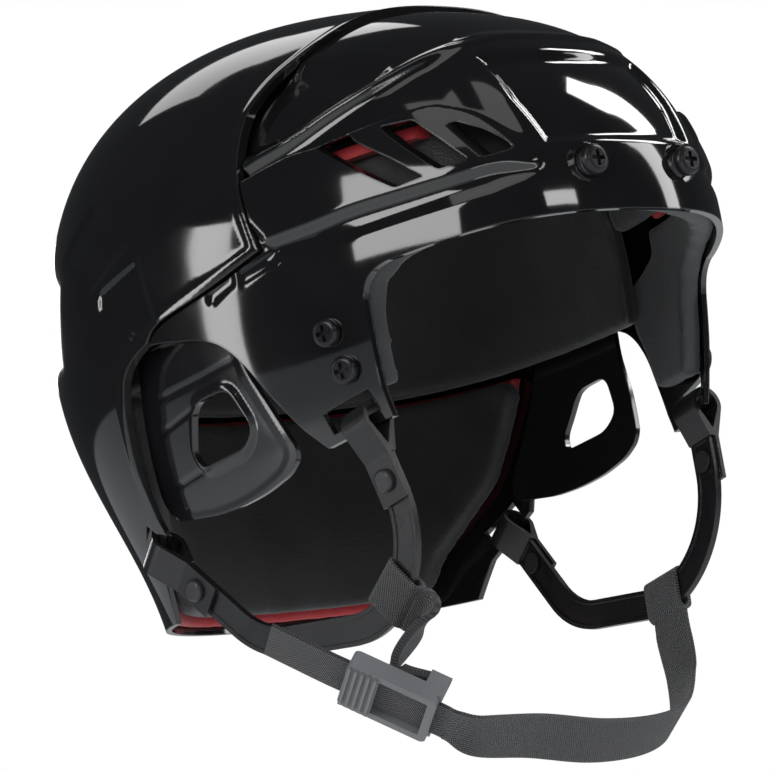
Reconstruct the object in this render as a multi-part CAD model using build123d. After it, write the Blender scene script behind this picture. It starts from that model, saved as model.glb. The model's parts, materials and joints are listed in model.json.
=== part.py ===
from build123d import *
from math import cos, exp, pi, sin
import os

os.makedirs("parts", exist_ok=True)

# Driving dimensions of an adjustable two-shell ice hockey helmet, in millimetres and degrees.
# The origin is the middle of the head cavity, +Z is up, the helmet faces -Y and +X is the wearer's left.
half_width = 111.0
nose_length = 144.0
tail_length = 150.0
crown_height = 120.5
skirt_length = 140.0
lean_angle = 12.0
spread_share = 0.1676
plan_power = 2.5
rise_power = 2.4
skirt_share = 0.62
skirt_drop_share = 0.785
skirt_power = 2.5
section_points = 16
section_levels = 6
overrun = 20.0

# Walls, depths of the shell faces below the dome, and running gaps.
wall = 3.0
seat_gap = 0.3
slide_gap = 3.6
joint_gap = 1.0
size_travel = 5.0
crown_depth = 1.8
recess_depth = 4.6
scoop_depth = 6.2
lower_depth = 0.6
band_stand = 1.2
channel_depth = 2.4
panel_stand = 0.9
arrow_depth = 1.0
brow_pocket_depth = 3.4
tongue_depth = wall + slide_gap
lining_depth = tongue_depth + wall + seat_gap
red_foam = 5.0
inner_foam = 8.0
nape_backing = 6.0
nape_foam = 9.0
pad_corner = 6.0
guard_corner = 7.0
vent_corner = 1.4
brow_foam = 11.0
lining_split_gap = 1.5

# Fasteners.
screw_shank = 4.8
thread_gap = 0.05
screw_hole = 5.4
front_head = 11.6
front_head_height = 3.6
front_washer = 10.0
front_washer_height = 1.6
boss_width = 15.0
boss_stand = 1.0
side_head = 11.0
side_head_height = 3.2
nut_flange = 12.0
nut_flange_height = 1.6
nut_barrel = 7.6
nut_barrel_height = 2.0
nut_pocket_gap = 1.0
head_round_share = 0.6
touch_gap = 0.15
peg_post = 5.0
slot_mark_width = 5.0
slot_mark_depth = 2.6
recess_width = 1.7
recess_reach = 6.2
recess_drop = 1.6

# Ear guards.
guard_plate = 2.0
guard_rib = 1.0
guard_rib_width = 2.2

# Ear loops: a flat moulded strip with an eye at each end that hooks round a bar of the shell.
loop_width = 12.0
loop_plate = 2.6
loop_depth = 64.0
loop_sag = 14.0
loop_rise_share = 0.26
loop_rim = 0.5
loop_rim_width = 1.8
loop_turn = 40.0
loop_lean = 9.0
eye_bore = 5.2
eye_plate = 1.9
eye_width = 14.0
eye_neck = 14.0
leaf_length = 18.0
leaf_plate = 1.8
bar_height = 4.0
slot_gap = 1.2
rear_leg_angle = 33.0
snap_head = 9.0
snap_height = 2.4
snap_post = 4.0

# Chin strap and buckle.
web_width = 20.0
web_plate = 1.6
web_gap = 1.6
web_drop = 8.0
eye_shift = 0.6
left_web_share = 0.40
right_web_share = 0.30
tail_strap_share = 0.16
tail_curl = 3.0
buckle_length = 36.0
buckle_rail = 3.4
buckle_half_height = 3.6
buckle_bar = 3.2
buckle_gap = 0.5
grip_length = 13.0
grip_ribs = 5
grip_rib_height = 1.2
anchor_bar = 2.4
anchor_along = -14.6
anchor_drop = 7.2
corner_share = 0.8

# Outlines seen from the side, as shares of nose_length and crown_height.
split_shares = [(-0.345, 1.15), (-0.330, 0.898), (-0.323, 0.826), (-0.296, 0.755), (-0.256, 0.694),
                (-0.222, 0.621), (-0.208, 0.558), (-0.210, 0.402), (-0.235, 0.270), (-0.272, 0.126)]
foot_shares = [(-0.272, 0.126), (-0.088, 0.060), (0.119, 0.003), (0.175, -0.046)]
ear_top_shares = [(0.175, -0.054), (0.110, -0.063), (-0.019, -0.093), (-0.090, -0.135)]
ear_front_shares = [(-0.090, -0.135), (-0.152, -0.217), (-0.206, -0.330), (-0.270, -0.452)]
ear_back_shares = [(0.175, -0.046), (0.240, -0.078), (0.290, -0.122), (0.322, -0.190), (0.353, -0.300),
                   (0.386, -0.446), (0.400, -0.580)]
rim_shares = [(-0.521, -0.374), (-0.529, -0.266), (-0.535, -0.158), (-0.541, -0.091), (-0.563, -0.041),
              (-0.604, -0.012), (-0.653, -0.002), (-0.813, 0.026), (-0.944, 0.039), (-1.150, 0.041)]
ridge_shares = [(-0.170, 0.400), (-0.248, 0.423), (-0.349, 0.456), (-0.451, 0.509), (-0.581, 0.584),
                (-0.646, 0.637), (-0.706, 0.686), (-0.727, 0.706), (-1.150, 0.730)]
scoop_shares = [(-0.190, 0.470), (-0.350, 0.492), (-0.451, 0.546), (-0.560, 0.622), (-0.530, 0.668),
                (-0.400, 0.708), (-0.250, 0.716)]
band_top_shares = [(-0.150, 0.352), (-0.212, 0.369), (-0.354, 0.405), (-0.451, 0.410), (-0.558, 0.431),
                   (-0.701, 0.460), (-0.763, 0.442), (-0.826, 0.391), (-0.915, 0.273), (-0.936, 0.251)]
band_foot_shares = [(-0.930, 0.183), (-0.874, 0.208), (-0.782, 0.193), (-0.672, 0.179), (-0.544, 0.168),
                    (-0.433, 0.151), (-0.300, 0.140)]
channel_shares = [(-0.300, 0.100), (-0.485, 0.096), (-0.713, 0.122), (-0.860, 0.150)]
vent_shares = [[(-0.452, 0.388), (-0.520, 0.398), (-0.664, 0.222), (-0.500, 0.188), (-0.448, 0.225)],
               [(-0.585, 0.404), (-0.685, 0.420), (-0.800, 0.232), (-0.742, 0.222)],
               [(-0.742, 0.408), (-0.780, 0.392), (-0.878, 0.262), (-0.862, 0.240), (-0.832, 0.240)]]
panel_shares = [(0.159, 0.239), (0.119, 0.003), (-0.271, 0.126), (-0.212, 0.357), (0.000, 0.322)]
arrow_shares = [(0.370, 0.466), (0.197, 0.294), (0.404, 0.184), (0.552, 0.333)]
facet_shares = [(0.175, 0.225), (0.355, 0.166), (0.362, 0.112), (0.222, -0.020), (0.140, 0.010)]
guard_shares = [(-0.060, 0.075), (-0.080, -0.200), (-0.130, -0.337), (-0.171, -0.480), (-0.160, -0.520),
                (-0.113, -0.559), (-0.010, -0.593), (0.100, -0.610), (0.217, -0.614), (0.400, -0.592),
                (0.425, -0.520), (0.305, -0.033), (0.292, 0.075)]
guard_hole_shares = [(0.174, -0.260), (-0.042, -0.252), (-0.028, -0.456), (0.215, -0.460)]
guard_lip_shares = [(0.200, -0.236), (-0.066, -0.226), (-0.052, -0.482), (0.241, -0.484)]
brow_shares = [(-1.150, 0.062), (-0.940, 0.060), (-0.813, 0.047), (-0.655, 0.021), (-0.590, -0.010),
               (-0.545, -0.060), (-0.523, -0.140), (-0.505, -0.370), (-0.310, -0.370), (-0.200, -0.130),
               (-0.215, 0.005), (-0.370, 0.085), (-0.370, 0.165), (-1.150, 0.165)]
tongue_shares = [(-0.420, 1.150), (-0.420, 0.880), (-0.360, 0.720), (-0.300, 0.560), (-0.300, 0.380),
                 (-0.345, 0.100), (-0.080, -0.040), (0.175, -0.054), (0.235, -0.060), (0.215, 0.100),
                 (0.110, 0.330), (0.000, 0.580), (-0.110, 0.830), (-0.139, 1.150)]
lining_foot_share = 0.100
inner_foot_share = -0.130
lining_split_share = -0.262
brow_top_share = 0.180
nape_shares = [(0.390, -0.150), (0.480, -0.500), (0.620, -0.720), (0.660, -0.858), (1.200, -0.858),
               (1.200, -0.150)]
backing_shares = [(0.450, -0.130), (0.540, -0.500), (0.680, -0.720), (0.700, -0.885), (1.200, -0.885),
                  (1.200, -0.130)]
tail_shares = [(0.560, -0.905), (1.200, -0.905), (1.200, 1.150)]
crown_vent_shares = [[(0.080, 0.300), (0.330, 0.300)], [(0.420, 0.260), (0.620, 0.240)]]
crown_vent_width = 11.0
slot_mark_shares = [((-0.155, 0.062), (-0.085, 0.030)), ((-0.310, 0.092), (-0.205, 0.062)),
                    ((-0.440, 0.098), (-0.370, 0.088))]

# Outlines seen from the front, as shares of half_width and crown_height.
brow_block_shares = [(-0.400, 0.760), (0.400, 0.760), (0.455, 0.420), (0.420, 0.110), (-0.420, 0.110),
                     (-0.455, 0.420)]
pocket_mouth_shares = [(-0.335, 0.640), (0.335, 0.640), (0.372, 0.440), (0.345, 0.262), (-0.345, 0.262),
                       (-0.372, 0.440)]
pocket_floor_shares = [(-0.345, 0.572), (0.345, 0.572), (0.310, 0.440), (0.278, 0.310), (-0.278, 0.310),
                       (-0.310, 0.440)]

# Places on the shell, as shares of the side sizes above.
front_screw_share = 0.212
front_screw_rise_share = 0.194
side_screw_shares = [(-0.424, -0.182), (-0.446, -0.306)]
size_peg_shares = (0.000, 0.250)
front_bar_shares = (-0.444, -0.476)
rear_bar_shares = (0.465, -0.689)
front_edge_ahead = 11.0
front_edge_behind = 19.0
rear_edge_ahead = 12.0
rear_edge_behind = 13.0

# Chin strap stations, as shares of half_width, nose_length and crown_height, with the way its width runs.
chin_route_shares = [((-0.560, -0.458, -1.452), (0.20, 0.75, -0.63)),
                     ((-0.270, -0.472, -1.490), (0.05, 0.70, -0.71)),
                     ((0.000, -0.458, -1.531), (0.00, 0.68, -0.73)),
                     ((0.270, -0.417, -1.531), (0.00, 0.72, -0.69)),
                     ((0.480, -0.361, -1.500), (0.10, 0.80, -0.60)),
                     ((0.610, -0.306, -1.440), (0.15, 0.88, -0.45)),
                     ((0.670, -0.278, -1.330), (0.10, 0.95, -0.30))]
buckle_shares = (-0.811, -0.406, -1.321)
buckle_at = Vector(buckle_shares[0] * half_width, buckle_shares[1] * nose_length,
                   buckle_shares[2] * crown_height)
buckle_run = Vector(-0.624, 0.546, 0.558).normalized()
buckle_across = Vector(0.349, 0.834, -0.427).normalized()


def dome_value(x, y, height, depth):
    """One on the dome that lies depth inside the shell's outer face, in the dome's own leaning frame."""
    crown = crown_height - depth
    side = (half_width - depth) * (1 + spread_share * y / half_width)
    reach = (nose_length if y < 0 else tail_length) - depth
    plan = (abs(x) / side) ** plan_power + (abs(y) / reach) ** plan_power
    if height > 0:
        rise = (height / crown) ** rise_power
    else:
        rise = skirt_share * (1 - exp(-(-height / (skirt_drop_share * crown_height)) ** skirt_power))
    return plan ** (rise_power / plan_power) + rise


def first_outside(inside, reach):
    """Distance at which the test stops being true, found by halving."""
    low, high = 0.0, reach
    for _ in range(40):
        middle = (low + high) / 2
        if inside(middle):
            low = middle
        else:
            high = middle
    return low


def section(height, depth):
    """Closed smooth section of the dome at one height."""
    points = []
    for i in range(section_points):
        turn = 2 * pi * i / section_points + pi / 2
        reach = first_outside(lambda r: dome_value(cos(turn) * r, sin(turn) * r, height, depth) < 1,
                              2 * tail_length)
        points.append(Vector(cos(turn) * reach, sin(turn) * reach, height))
    return Wire(Edge.make_spline(points, periodic=True))


def dome(depth):
    """Solid dome, depth inside the shell's outer face, from the skirt to the crown."""
    crown = crown_height - depth
    foot = skirt_length + depth
    heights = [-foot * (1 - i / section_levels) for i in range(section_levels)]
    heights += [crown * sin(pi / 2 * i / section_levels) for i in range(section_levels)]
    body = Solid.make_loft([section(h, depth) for h in heights] + [Vertex(0, 0, crown)])
    return Rot(lean_angle, 0, 0) * body


def in_dome(point, depth):
    """True inside the dome, for a point in the object's frame."""
    local = Vector(point).rotate(Axis.X, -lean_angle)
    return dome_value(local.X, local.Y, local.Z, depth) < 1


def on_side(y, z, depth):
    """Point on the wearer's left side of the dome."""
    return Vector(first_outside(lambda x: in_dome((x, y, z), depth), 2 * half_width), y, z)


def on_brow(x, z, depth):
    """Point on the front of the dome."""
    return Vector(x, -first_outside(lambda y: in_dome((x, -y, z), depth), 2 * nose_length), z)


def outward(point):
    """Unit normal of the dome at a point near its face."""
    step = wall
    slopes = []
    for axis in (Vector(step, 0, 0), Vector(0, step, 0), Vector(0, 0, step)):
        ahead = (point + axis).rotate(Axis.X, -lean_angle)
        behind = (point - axis).rotate(Axis.X, -lean_angle)
        slopes.append(dome_value(ahead.X, ahead.Y, ahead.Z, 0) - dome_value(behind.X, behind.Y, behind.Z, 0))
    return Vector(*slopes).normalized()


def side_points(shares):
    """Side-view shares to lengths."""
    return [(y * nose_length, z * crown_height) for y, z in shares]


def outline(*runs):
    """Closed face from runs of points: a run named smooth is one spline, any other is straight."""
    edges = []
    last = None
    first = runs[0][1][0]
    for kind, points in runs:
        if last is not None and (Vector(*last) - Vector(*points[0])).length > seat_gap:
            edges.append(Line(last, points[0]))
        elif last is not None:
            points = [last] + list(points[1:])
        if kind == "smooth":
            edges.append(Spline(*points))
        else:
            edges.extend(Line(a, b) for a, b in zip(points, points[1:]))
        last = points[-1]
    edges.append(Line(last, first))
    return make_face(Wire(edges))


def side_prism(face):
    """Prism of a side-view face from the middle plane to the wearer's left."""
    return extrude(Plane.YZ * face, 2 * half_width)


def front_prism(face):
    """Prism of a front-view face through the brow."""
    return extrude(Plane.XZ * face, 2 * nose_length)


def front_points(shares):
    """Front-view shares to lengths."""
    return [(x * half_width, z * crown_height) for x, z in shares]


def straight_face(points):
    """Closed face with straight edges."""
    return make_face(Polyline(*points, close=True))


def rounded_face(points, radius):
    """Closed face with one corner radius."""
    return make_face(FilletPolyline(*points, radius=radius, close=True))


def rod(start, way, diameter, length):
    """Round rod from a point along a direction."""
    return Plane(origin=start, z_dir=way) * Cylinder(diameter / 2, length,
                                                     align=(Align.CENTER, Align.CENTER, Align.MIN))


def both_sides(body):
    """The body and its mirror image about the middle plane."""
    return [body, mirror(body, about=Plane.YZ)]


def solids_of(shape):
    """All solids of a shape or a list of shapes."""
    if isinstance(shape, (list, tuple)):
        return [s for part in shape for s in solids_of(part)]
    return list(shape.solids())


def write(name, shape):
    """One STEP file for one node."""
    found = solids_of(shape)
    export_step(Compound(found) if len(found) > 1 else found[0], f"parts/{name}.step")
    print(name, len(found), "solids", round(sum(s.volume for s in found) / 1000, 2), "cm3")


left_half = Box(4 * half_width, 8 * half_width, 8 * half_width, align=(Align.MIN, Align.CENTER, Align.CENTER))
domes = {}


def dome_at(depth):
    """Left half of the dome at a depth, made once."""
    if depth not in domes:
        domes[depth] = dome(depth) & left_half
    return domes[depth]


def whole(body):
    """Left half and its mirror image as one body."""
    return body + mirror(body, about=Plane.YZ)


# Loop frame: the swing axis runs from the front bar to the rear bar.
front_bar = on_side(front_bar_shares[0] * nose_length, front_bar_shares[1] * crown_height,
                    lower_depth + wall / 2)
rear_bar = on_side(rear_bar_shares[0] * nose_length, rear_bar_shares[1] * crown_height, wall / 2)
loop_axis = (rear_bar - front_bar).normalized()
bar_span = (rear_bar - front_bar).length
straight_down = (Vector(0, 0, -1) - loop_axis * Vector(0, 0, -1).dot(loop_axis)).normalized()
loop_down = straight_down.rotate(Axis((0, 0, 0), loop_axis), loop_lean)
loop_inward = loop_axis.cross(loop_down)
loop_plane = Plane(origin=front_bar, x_dir=loop_axis, z_dir=loop_inward)
rear_leg = Vector(-sin(rear_leg_angle * pi / 180), cos(rear_leg_angle * pi / 180), 0)


def loop_point(along, down, inward=0):
    """Point of the loop's own frame in the object's frame."""
    return loop_plane.from_local_coords(Vector(along, down, inward))


def eye_plane(origin_along, leg):
    """Plane of an eye's profile: X points outward, Y along the leg, Z along the bar."""
    origin = loop_point(origin_along, 0)
    down = loop_point(origin_along + leg.X, leg.Y) - origin
    outside = -loop_inward
    return Plane(origin=origin, x_dir=outside, z_dir=outside.cross(down))


def slot_tool(plane, ahead, behind, height):
    """Slot cutter in the object's frame, with the bar's direction towards the tail as behind."""
    bar_way = plane.z_dir if plane.z_dir.Y > 0 else -plane.z_dir
    up_way = -plane.y_dir
    outside = bar_way.cross(up_way)
    frame = Plane(origin=plane.origin, x_dir=bar_way, z_dir=outside)
    lower = bar_height / 2
    box = Pos((behind - ahead) / 2, lower + height / 2, 0) * Box(ahead + behind, height, overrun)
    return frame * box


front_eye = eye_plane(0, Vector(0, 1, 0))
rear_eye = eye_plane(bar_span, rear_leg)
eye_half = eye_width / 2
slot_height = eye_bore + eye_plate + slot_gap - bar_height / 2


def bar_edge(plane, ahead, behind):
    """Two side-view points of the shell's edge beside a bar."""
    bar_way = plane.z_dir if plane.z_dir.Y > 0 else -plane.z_dir
    edge = plane.origin + plane.y_dir * (bar_height / 2)
    start = edge - bar_way * ahead
    end = edge + bar_way * behind
    return (start.Y, start.Z), (end.Y, end.Z)


def shifted(points, dy, dz=0):
    """Side-view points moved by one small gap."""
    return [(y + dy, z + dz) for y, z in points]


def front_region():
    """Side-view face of the exposed part of the front shell."""
    edge_ahead, edge_behind = bar_edge(front_eye, front_edge_ahead, front_edge_behind)
    split = shifted(side_points(split_shares), -joint_gap)
    foot = shifted(side_points(foot_shares), 0, -joint_gap)
    ear = side_points(ear_top_shares + ear_front_shares[1:])
    rim = side_points(rim_shares)
    top = split[0][1]
    return outline(("smooth", split), ("straight", [split[-1], foot[0]]), ("smooth", foot),
                   ("smooth", ear), ("straight", [ear[-1], edge_behind, edge_ahead]),
                   ("smooth", rim), ("straight", [rim[-1], (rim[-1][0], top)]))


def lower_region(inset):
    """Side-view face below the top of the vent band, drawn in by inset."""
    top = [(y, z - inset) for y, z in side_points(band_top_shares)]
    floor = -skirt_length
    far = -nose_length - overrun
    return outline(("smooth", top), ("straight", [top[-1], (far, top[-1][1]), (far, floor),
                                                  (top[0][0], floor)]))


def crown_region(inset):
    """Side-view face above the crest, drawn in by inset."""
    ridge = [(y, z + inset) for y, z in side_points(ridge_shares)]
    top = crown_height + overrun
    return outline(("smooth", ridge), ("straight", [ridge[-1], (ridge[-1][0], top), (ridge[0][0], top)]))


def recess_region():
    """Side-view face between the crest and the top of the band."""
    ridge = side_points(ridge_shares)
    top = side_points(band_top_shares)
    far = ridge[-1][0]
    return outline(("smooth", ridge), ("straight", [ridge[-1], (far, top[-1][1]), top[-1]]),
                   ("smooth", top[::-1]))


def sunk(region, depth, tool=side_prism):
    """Cutter that takes a region down to a depth below the dome."""
    return tool(region) - dome_at(depth)


def brow_seat(side):
    """Middle of a brow screw's flat seat."""
    x = side * front_screw_share * half_width
    face = on_brow(x, front_screw_rise_share * crown_height, lower_depth)
    return face - Vector(0, boss_stand, 0)


def brow_inner():
    """Distance from a brow seat to the flat inner face of its boss."""
    return boss_stand + wall + boss_stand


def side_seat(place):
    """Middle of a side screw's seat and its outward way."""
    point = on_side(place[0] * nose_length, place[1] * crown_height, lower_depth)
    way = outward(point)
    return point + way * (boss_stand / 2), way


def side_inner():
    """Distance from a side seat to the flat inner face of its boss."""
    return boss_stand / 2 + wall + boss_stand / 2


def brow_rod(width, start, length):
    """Rod along the left brow screw, from a start in front of the seat."""
    return rod(brow_seat(1) - Vector(0, start, 0), (0, 1, 0), width, length)


def side_rods(width, start, length):
    """Rods along the left side screws, from a start above the seat."""
    rods = []
    for place in side_screw_shares:
        seat, way = side_seat(place)
        rods.append(rod(seat + way * start, -way, width, length))
    return rods


def slot_marks():
    """Shallow slots in the channel under the side panel."""
    tools = []
    for near, far in slot_mark_shares:
        start, end = [Vector(*point) for point in side_points([near, far])]
        way = end - start
        place = Plane(origin=(start + end) / 2, x_dir=way.normalized(), z_dir=(0, 0, 1))
        face = place * SlotCenterToCenter(way.length, slot_mark_width)
        tools.append(side_prism(face) - dome_at(slot_mark_depth))
    return tools


def front_shell_skin(region, tongue_prism):
    """Outer form of the left half: crown, crest, scoop, band, channel and the hidden tongue."""
    block = front_prism(straight_face(front_points(brow_block_shares)))
    scoop = side_prism(straight_face(side_points(scoop_shares)))
    band = outline(("smooth", side_points(band_top_shares)), ("smooth", side_points(band_foot_shares)))
    channel = outline(("smooth", side_points(band_foot_shares[1:])), ("smooth", side_points(channel_shares)))
    side_cut = (side_prism(recess_region()) - block) - dome_at(recess_depth)
    crown_cut = (side_prism(crown_region(0)) - block) - dome_at(crown_depth)
    cuts = [side_cut, crown_cut, scoop - dome_at(scoop_depth), side_prism(channel) - dome_at(channel_depth)]
    body = (dome_at(lower_depth) & region) - (cuts + slot_marks())
    raised = (dome_at(lower_depth - band_stand) & side_prism(band)) & region
    body = body + [raised, dome_at(tongue_depth) & tongue_prism]
    lower_hollow = (dome_at(lower_depth + wall) & side_prism(lower_region(wall))) - tongue_prism
    upper = (side_prism(crown_region(wall)) - [tongue_prism, scoop]) - block
    return body - [lower_hollow, dome_at(crown_depth + wall) & upper, dome_at(tongue_depth + wall)]


def front_shell_cuts():
    """Screw holes, nut seats, vents, brow pocket, peg slot and loop slot of the left half."""
    sink = nut_barrel_height + seat_gap
    barrel = nut_barrel + 2 * seat_gap
    cuts = [brow_rod(screw_hole, overrun, 2 * overrun), brow_rod(barrel, sink - brow_inner(), 2 * sink)]
    cuts.append(brow_rod(nut_flange + 2 * seat_gap, -brow_inner(), overrun))
    cuts += side_rods(screw_hole, overrun, 2 * overrun) + side_rods(barrel, sink - side_inner(), 2 * sink)
    cuts += [side_prism(rounded_face(side_points(shares), vent_corner)) for shares in vent_shares]
    mouth = Plane.XZ.offset(nose_length + overrun) * straight_face(front_points(pocket_mouth_shares))
    floor = Plane.XZ.offset(nose_length - overrun) * straight_face(front_points(pocket_floor_shares))
    cuts.append(loft([mouth, floor]) - dome_at(brow_pocket_depth))
    cuts.append(slot_tool(front_eye, eye_half + slot_gap, eye_half + slot_gap + size_travel,
                          slot_height + slot_gap + size_travel * abs(loop_axis.Z)))
    point, way = peg_place()
    slot = SlotCenterToCenter(size_travel, peg_post + 2 * seat_gap)
    frame = Plane(origin=point, x_dir=(0, 1, 0), z_dir=way)
    cuts.append(extrude(frame * Pos(size_travel / 2, 0) * slot, overrun, both=True))
    return cuts


def make_front_shell():
    """Front shell of the helmet with its bosses and openings."""
    tongue_prism = side_prism(straight_face(side_points(tongue_shares)))
    body = front_shell_skin(side_prism(front_region()), tongue_prism)
    bosses = [brow_rod(boss_width, 0, brow_inner())] + side_rods(boss_width, 0, side_inner())
    return whole((body + bosses) - front_shell_cuts())


def rear_region():
    """Side-view face of the rear shell."""
    split = side_points(split_shares)
    foot = side_points(foot_shares)
    ear = side_points(ear_back_shares)
    edge_ahead, edge_behind = bar_edge(rear_eye, rear_edge_ahead, rear_edge_behind)
    tail = side_points(tail_shares)
    return outline(("smooth", split), ("smooth", foot), ("smooth", ear),
                   ("straight", [ear[-1], edge_ahead, edge_behind] + tail))


def peg_place():
    """Seat of a size peg on the left inner face of the rear shell, and its outward way."""
    point = on_side(size_peg_shares[0] * nose_length, size_peg_shares[1] * crown_height, wall)
    way = outward(point)
    return point, Vector(way.X, 0, way.Z).normalized()


def make_rear_shell():
    """Rear shell: skin with the side panel, arrow and facet creases, crown vents and loop slots."""
    region = side_prism(rear_region())
    body = dome_at(0) & region
    panel = side_prism(straight_face(side_points(panel_shares)))
    creases = [sunk(rounded_face(side_points(shares), vent_corner), arrow_depth)
               for shares in (arrow_shares, facet_shares)]
    body = body - creases
    body = body + ((dome_at(-panel_stand) & panel) & region)
    cuts = [dome_at(wall)]
    for near, far in crown_vent_shares:
        start = Vector(near[1] * half_width, near[0] * nose_length)
        end = Vector(far[1] * half_width, far[0] * nose_length)
        way = end - start
        place = Plane(origin=(start + end) / 2, x_dir=way.normalized(), z_dir=(0, 0, 1))
        slot = place * SlotCenterToCenter(way.length, crown_vent_width)
        cuts.append(extrude(slot, crown_height + overrun))
    cuts.append(slot_tool(rear_eye, eye_half + slot_gap, eye_half + slot_gap, slot_height + slot_gap))
    return whole(body - cuts)


def pad_between(outer, inner, tool):
    """Left half of a layer between two depths inside one prism."""
    return (dome_at(outer) & tool) - dome_at(inner)


def box_region(front, back, foot, top):
    """Side-view face between four lines."""
    return straight_face([(front, foot), (back, foot), (back, top), (front, top)])


def make_liners():
    """Red and black liner layers of both shells, each one solid."""
    split = lining_split_share * nose_length
    top = crown_height + overrun
    brow_top = brow_top_share * crown_height
    front_box = box_region(-nose_length - overrun, split, brow_top, top)
    rear_split, far = split + lining_split_gap, tail_length + overrun
    rear_red_box = box_region(rear_split, far, lining_foot_share * crown_height, top)
    rear_box = box_region(rear_split, far, inner_foot_share * crown_height, top)
    middle = lining_depth + red_foam
    under = middle + seat_gap
    pocket = brow_rod(boss_width + nut_pocket_gap * 2, 0, brow_inner() + nut_flange_height + nut_pocket_gap)
    front_red = pad_between(lining_depth, middle, side_prism(front_box)) - pocket
    front_inner = pad_between(under, under + inner_foam, side_prism(front_box))
    rear_red = pad_between(lining_depth, middle, side_prism(rear_red_box))
    rear_inner = pad_between(under, under + inner_foam, side_prism(rear_box))
    return [whole(layer) for layer in (front_red, front_inner, rear_red, rear_inner)]


def make_nape_pads():
    """Black nape pad and its red backing."""
    outer = wall + seat_gap
    middle = outer + nape_backing
    backing = pad_between(outer, middle, side_prism(straight_face(side_points(backing_shares))))
    pad = pad_between(middle + seat_gap, middle + seat_gap + nape_foam,
                      side_prism(rounded_face(side_points(nape_shares), pad_corner)))
    return whole(pad), whole(backing)


def make_brow_pad():
    """Left brow pad, which meets its twin at the middle, with pockets for the nuts."""
    outer = lower_depth + wall + seat_gap
    region = side_prism(straight_face(side_points(brow_shares)))
    pad = pad_between(outer, outer + brow_foam, region)
    middle = Box(2 * joint_gap, 4 * nose_length, 4 * crown_height)
    pocket = boss_width + 2 * nut_pocket_gap
    tools = [brow_rod(pocket, 0, brow_inner() + nut_flange_height + nut_pocket_gap)]
    tools += side_rods(pocket, 0, side_inner() + nut_flange_height + nut_pocket_gap)
    return pad - (tools + [middle])


def make_guard():
    """Left ear guard: thin shell with a rounded opening and a raised lip round it."""
    outer = lining_depth
    hole = rounded_face(side_points(guard_hole_shares), guard_corner)
    lip = rounded_face(side_points(guard_lip_shares), guard_corner + guard_rib_width)
    face = rounded_face(side_points(guard_shares), vent_corner)
    body = pad_between(outer, outer + guard_plate, side_prism(face))
    body = body + pad_between(outer - guard_rib, outer + joint_gap, side_prism(lip))
    return body - side_prism(hole)


def screw(seat, way, head, height, below, shank_length):
    """Pan head screw with a cross recess; the seat is the face the head stands on."""
    base = seat + way * below
    body = rod(base, way, head, height)
    body = fillet(body.edges().filter_by(GeomType.CIRCLE).sort_by(lambda e: e.center().dot(way))[-1],
                  height * head_round_share)
    shank = rod(base, -way, screw_shank, shank_length + below)
    side = way.cross(Vector(0, 0, 1)).normalized()
    frame = Plane(origin=base + way * height, x_dir=side, z_dir=way)
    cross = Rectangle(recess_reach, recess_width) + Rectangle(recess_width, recess_reach)
    return (body + shank) - extrude(frame * cross, -recess_drop)


def t_nut(seat, way, inner):
    """T-nut pressed in from inside: flange on the inner face and barrel in the counterbore."""
    flange = rod(seat - way * (inner + seat_gap), -way, nut_flange, nut_flange_height)
    barrel = rod(seat - way * (inner + seat_gap), way, nut_barrel, nut_barrel_height)
    bore = rod(seat + way * overrun, -way, screw_shank + 2 * thread_gap, 2 * overrun)
    return (flange + barrel) - bore


def make_brow_fasteners():
    """Screws, washers and nuts of the brow fixings."""
    screws, washers, nuts = [], [], []
    front = Vector(0, -1, 0)
    for side in (-1, 1):
        seat = brow_seat(side)
        below = front_washer_height + 2 * touch_gap
        screws.append(screw(seat, front, front_head, front_head_height, below, brow_inner()))
        ring = rod(seat + front * touch_gap, front, front_washer, front_washer_height)
        washers.append(ring - rod(seat + front * overrun, -front, screw_hole, 2 * overrun))
        nuts.append(t_nut(seat, front, brow_inner()))
    return screws, washers, nuts


def make_side_fasteners():
    """Screws and nuts of the side fixings, right and left."""
    screws, nuts = [], []
    for place in side_screw_shares:
        seat, way = side_seat(place)
        screws += both_sides(screw(seat, way, side_head, side_head_height, touch_gap, side_inner()))
        nuts += both_sides(t_nut(seat, way, side_inner()))
    return screws, nuts


def make_size_pegs():
    """Pegs seated inside the rear shell that ride in the slots of the tongue."""
    point, way = peg_place()
    start = point - way * joint_gap
    return both_sides(rod(start, -way, peg_post, wall + slide_gap - 2 * joint_gap))


def loop_path():
    """Middle line of a loop in its own frame: down from the front bar, round the jaw, up to the rear bar."""
    rear = Vector(bar_span, 0)
    start = Vector(0, eye_neck)
    end = rear + rear_leg * eye_neck
    low = Vector(0, loop_depth + loop_sag)
    rise = loop_rise_share
    along = (rear.X * rear_leg.Y + low.Y * rear_leg.X) / (rear_leg.Y + rise * rear_leg.X)
    corner = Vector(along, low.Y - rise * along)
    return FilletPolyline(start, low, corner, end, radius=loop_turn)


def make_strip():
    """Flat strip with raised rims that follows the loop's middle line."""
    path = loop_plane * loop_path()
    edge, core = loop_width / 2, loop_plate / 2 - loop_rim
    side, lip = loop_plate / 2, loop_width / 2 - loop_rim_width
    points = [(-edge, -side), (-lip, -side), (-lip, -core), (lip, -core), (lip, -side), (edge, -side),
              (edge, side), (lip, side), (lip, core), (-lip, core), (-lip, side), (-edge, side)]
    start = path @ 0
    frame = Plane(origin=start, x_dir=loop_axis, z_dir=path % 0)
    return sweep(frame * straight_face(points), path=path)


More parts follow.
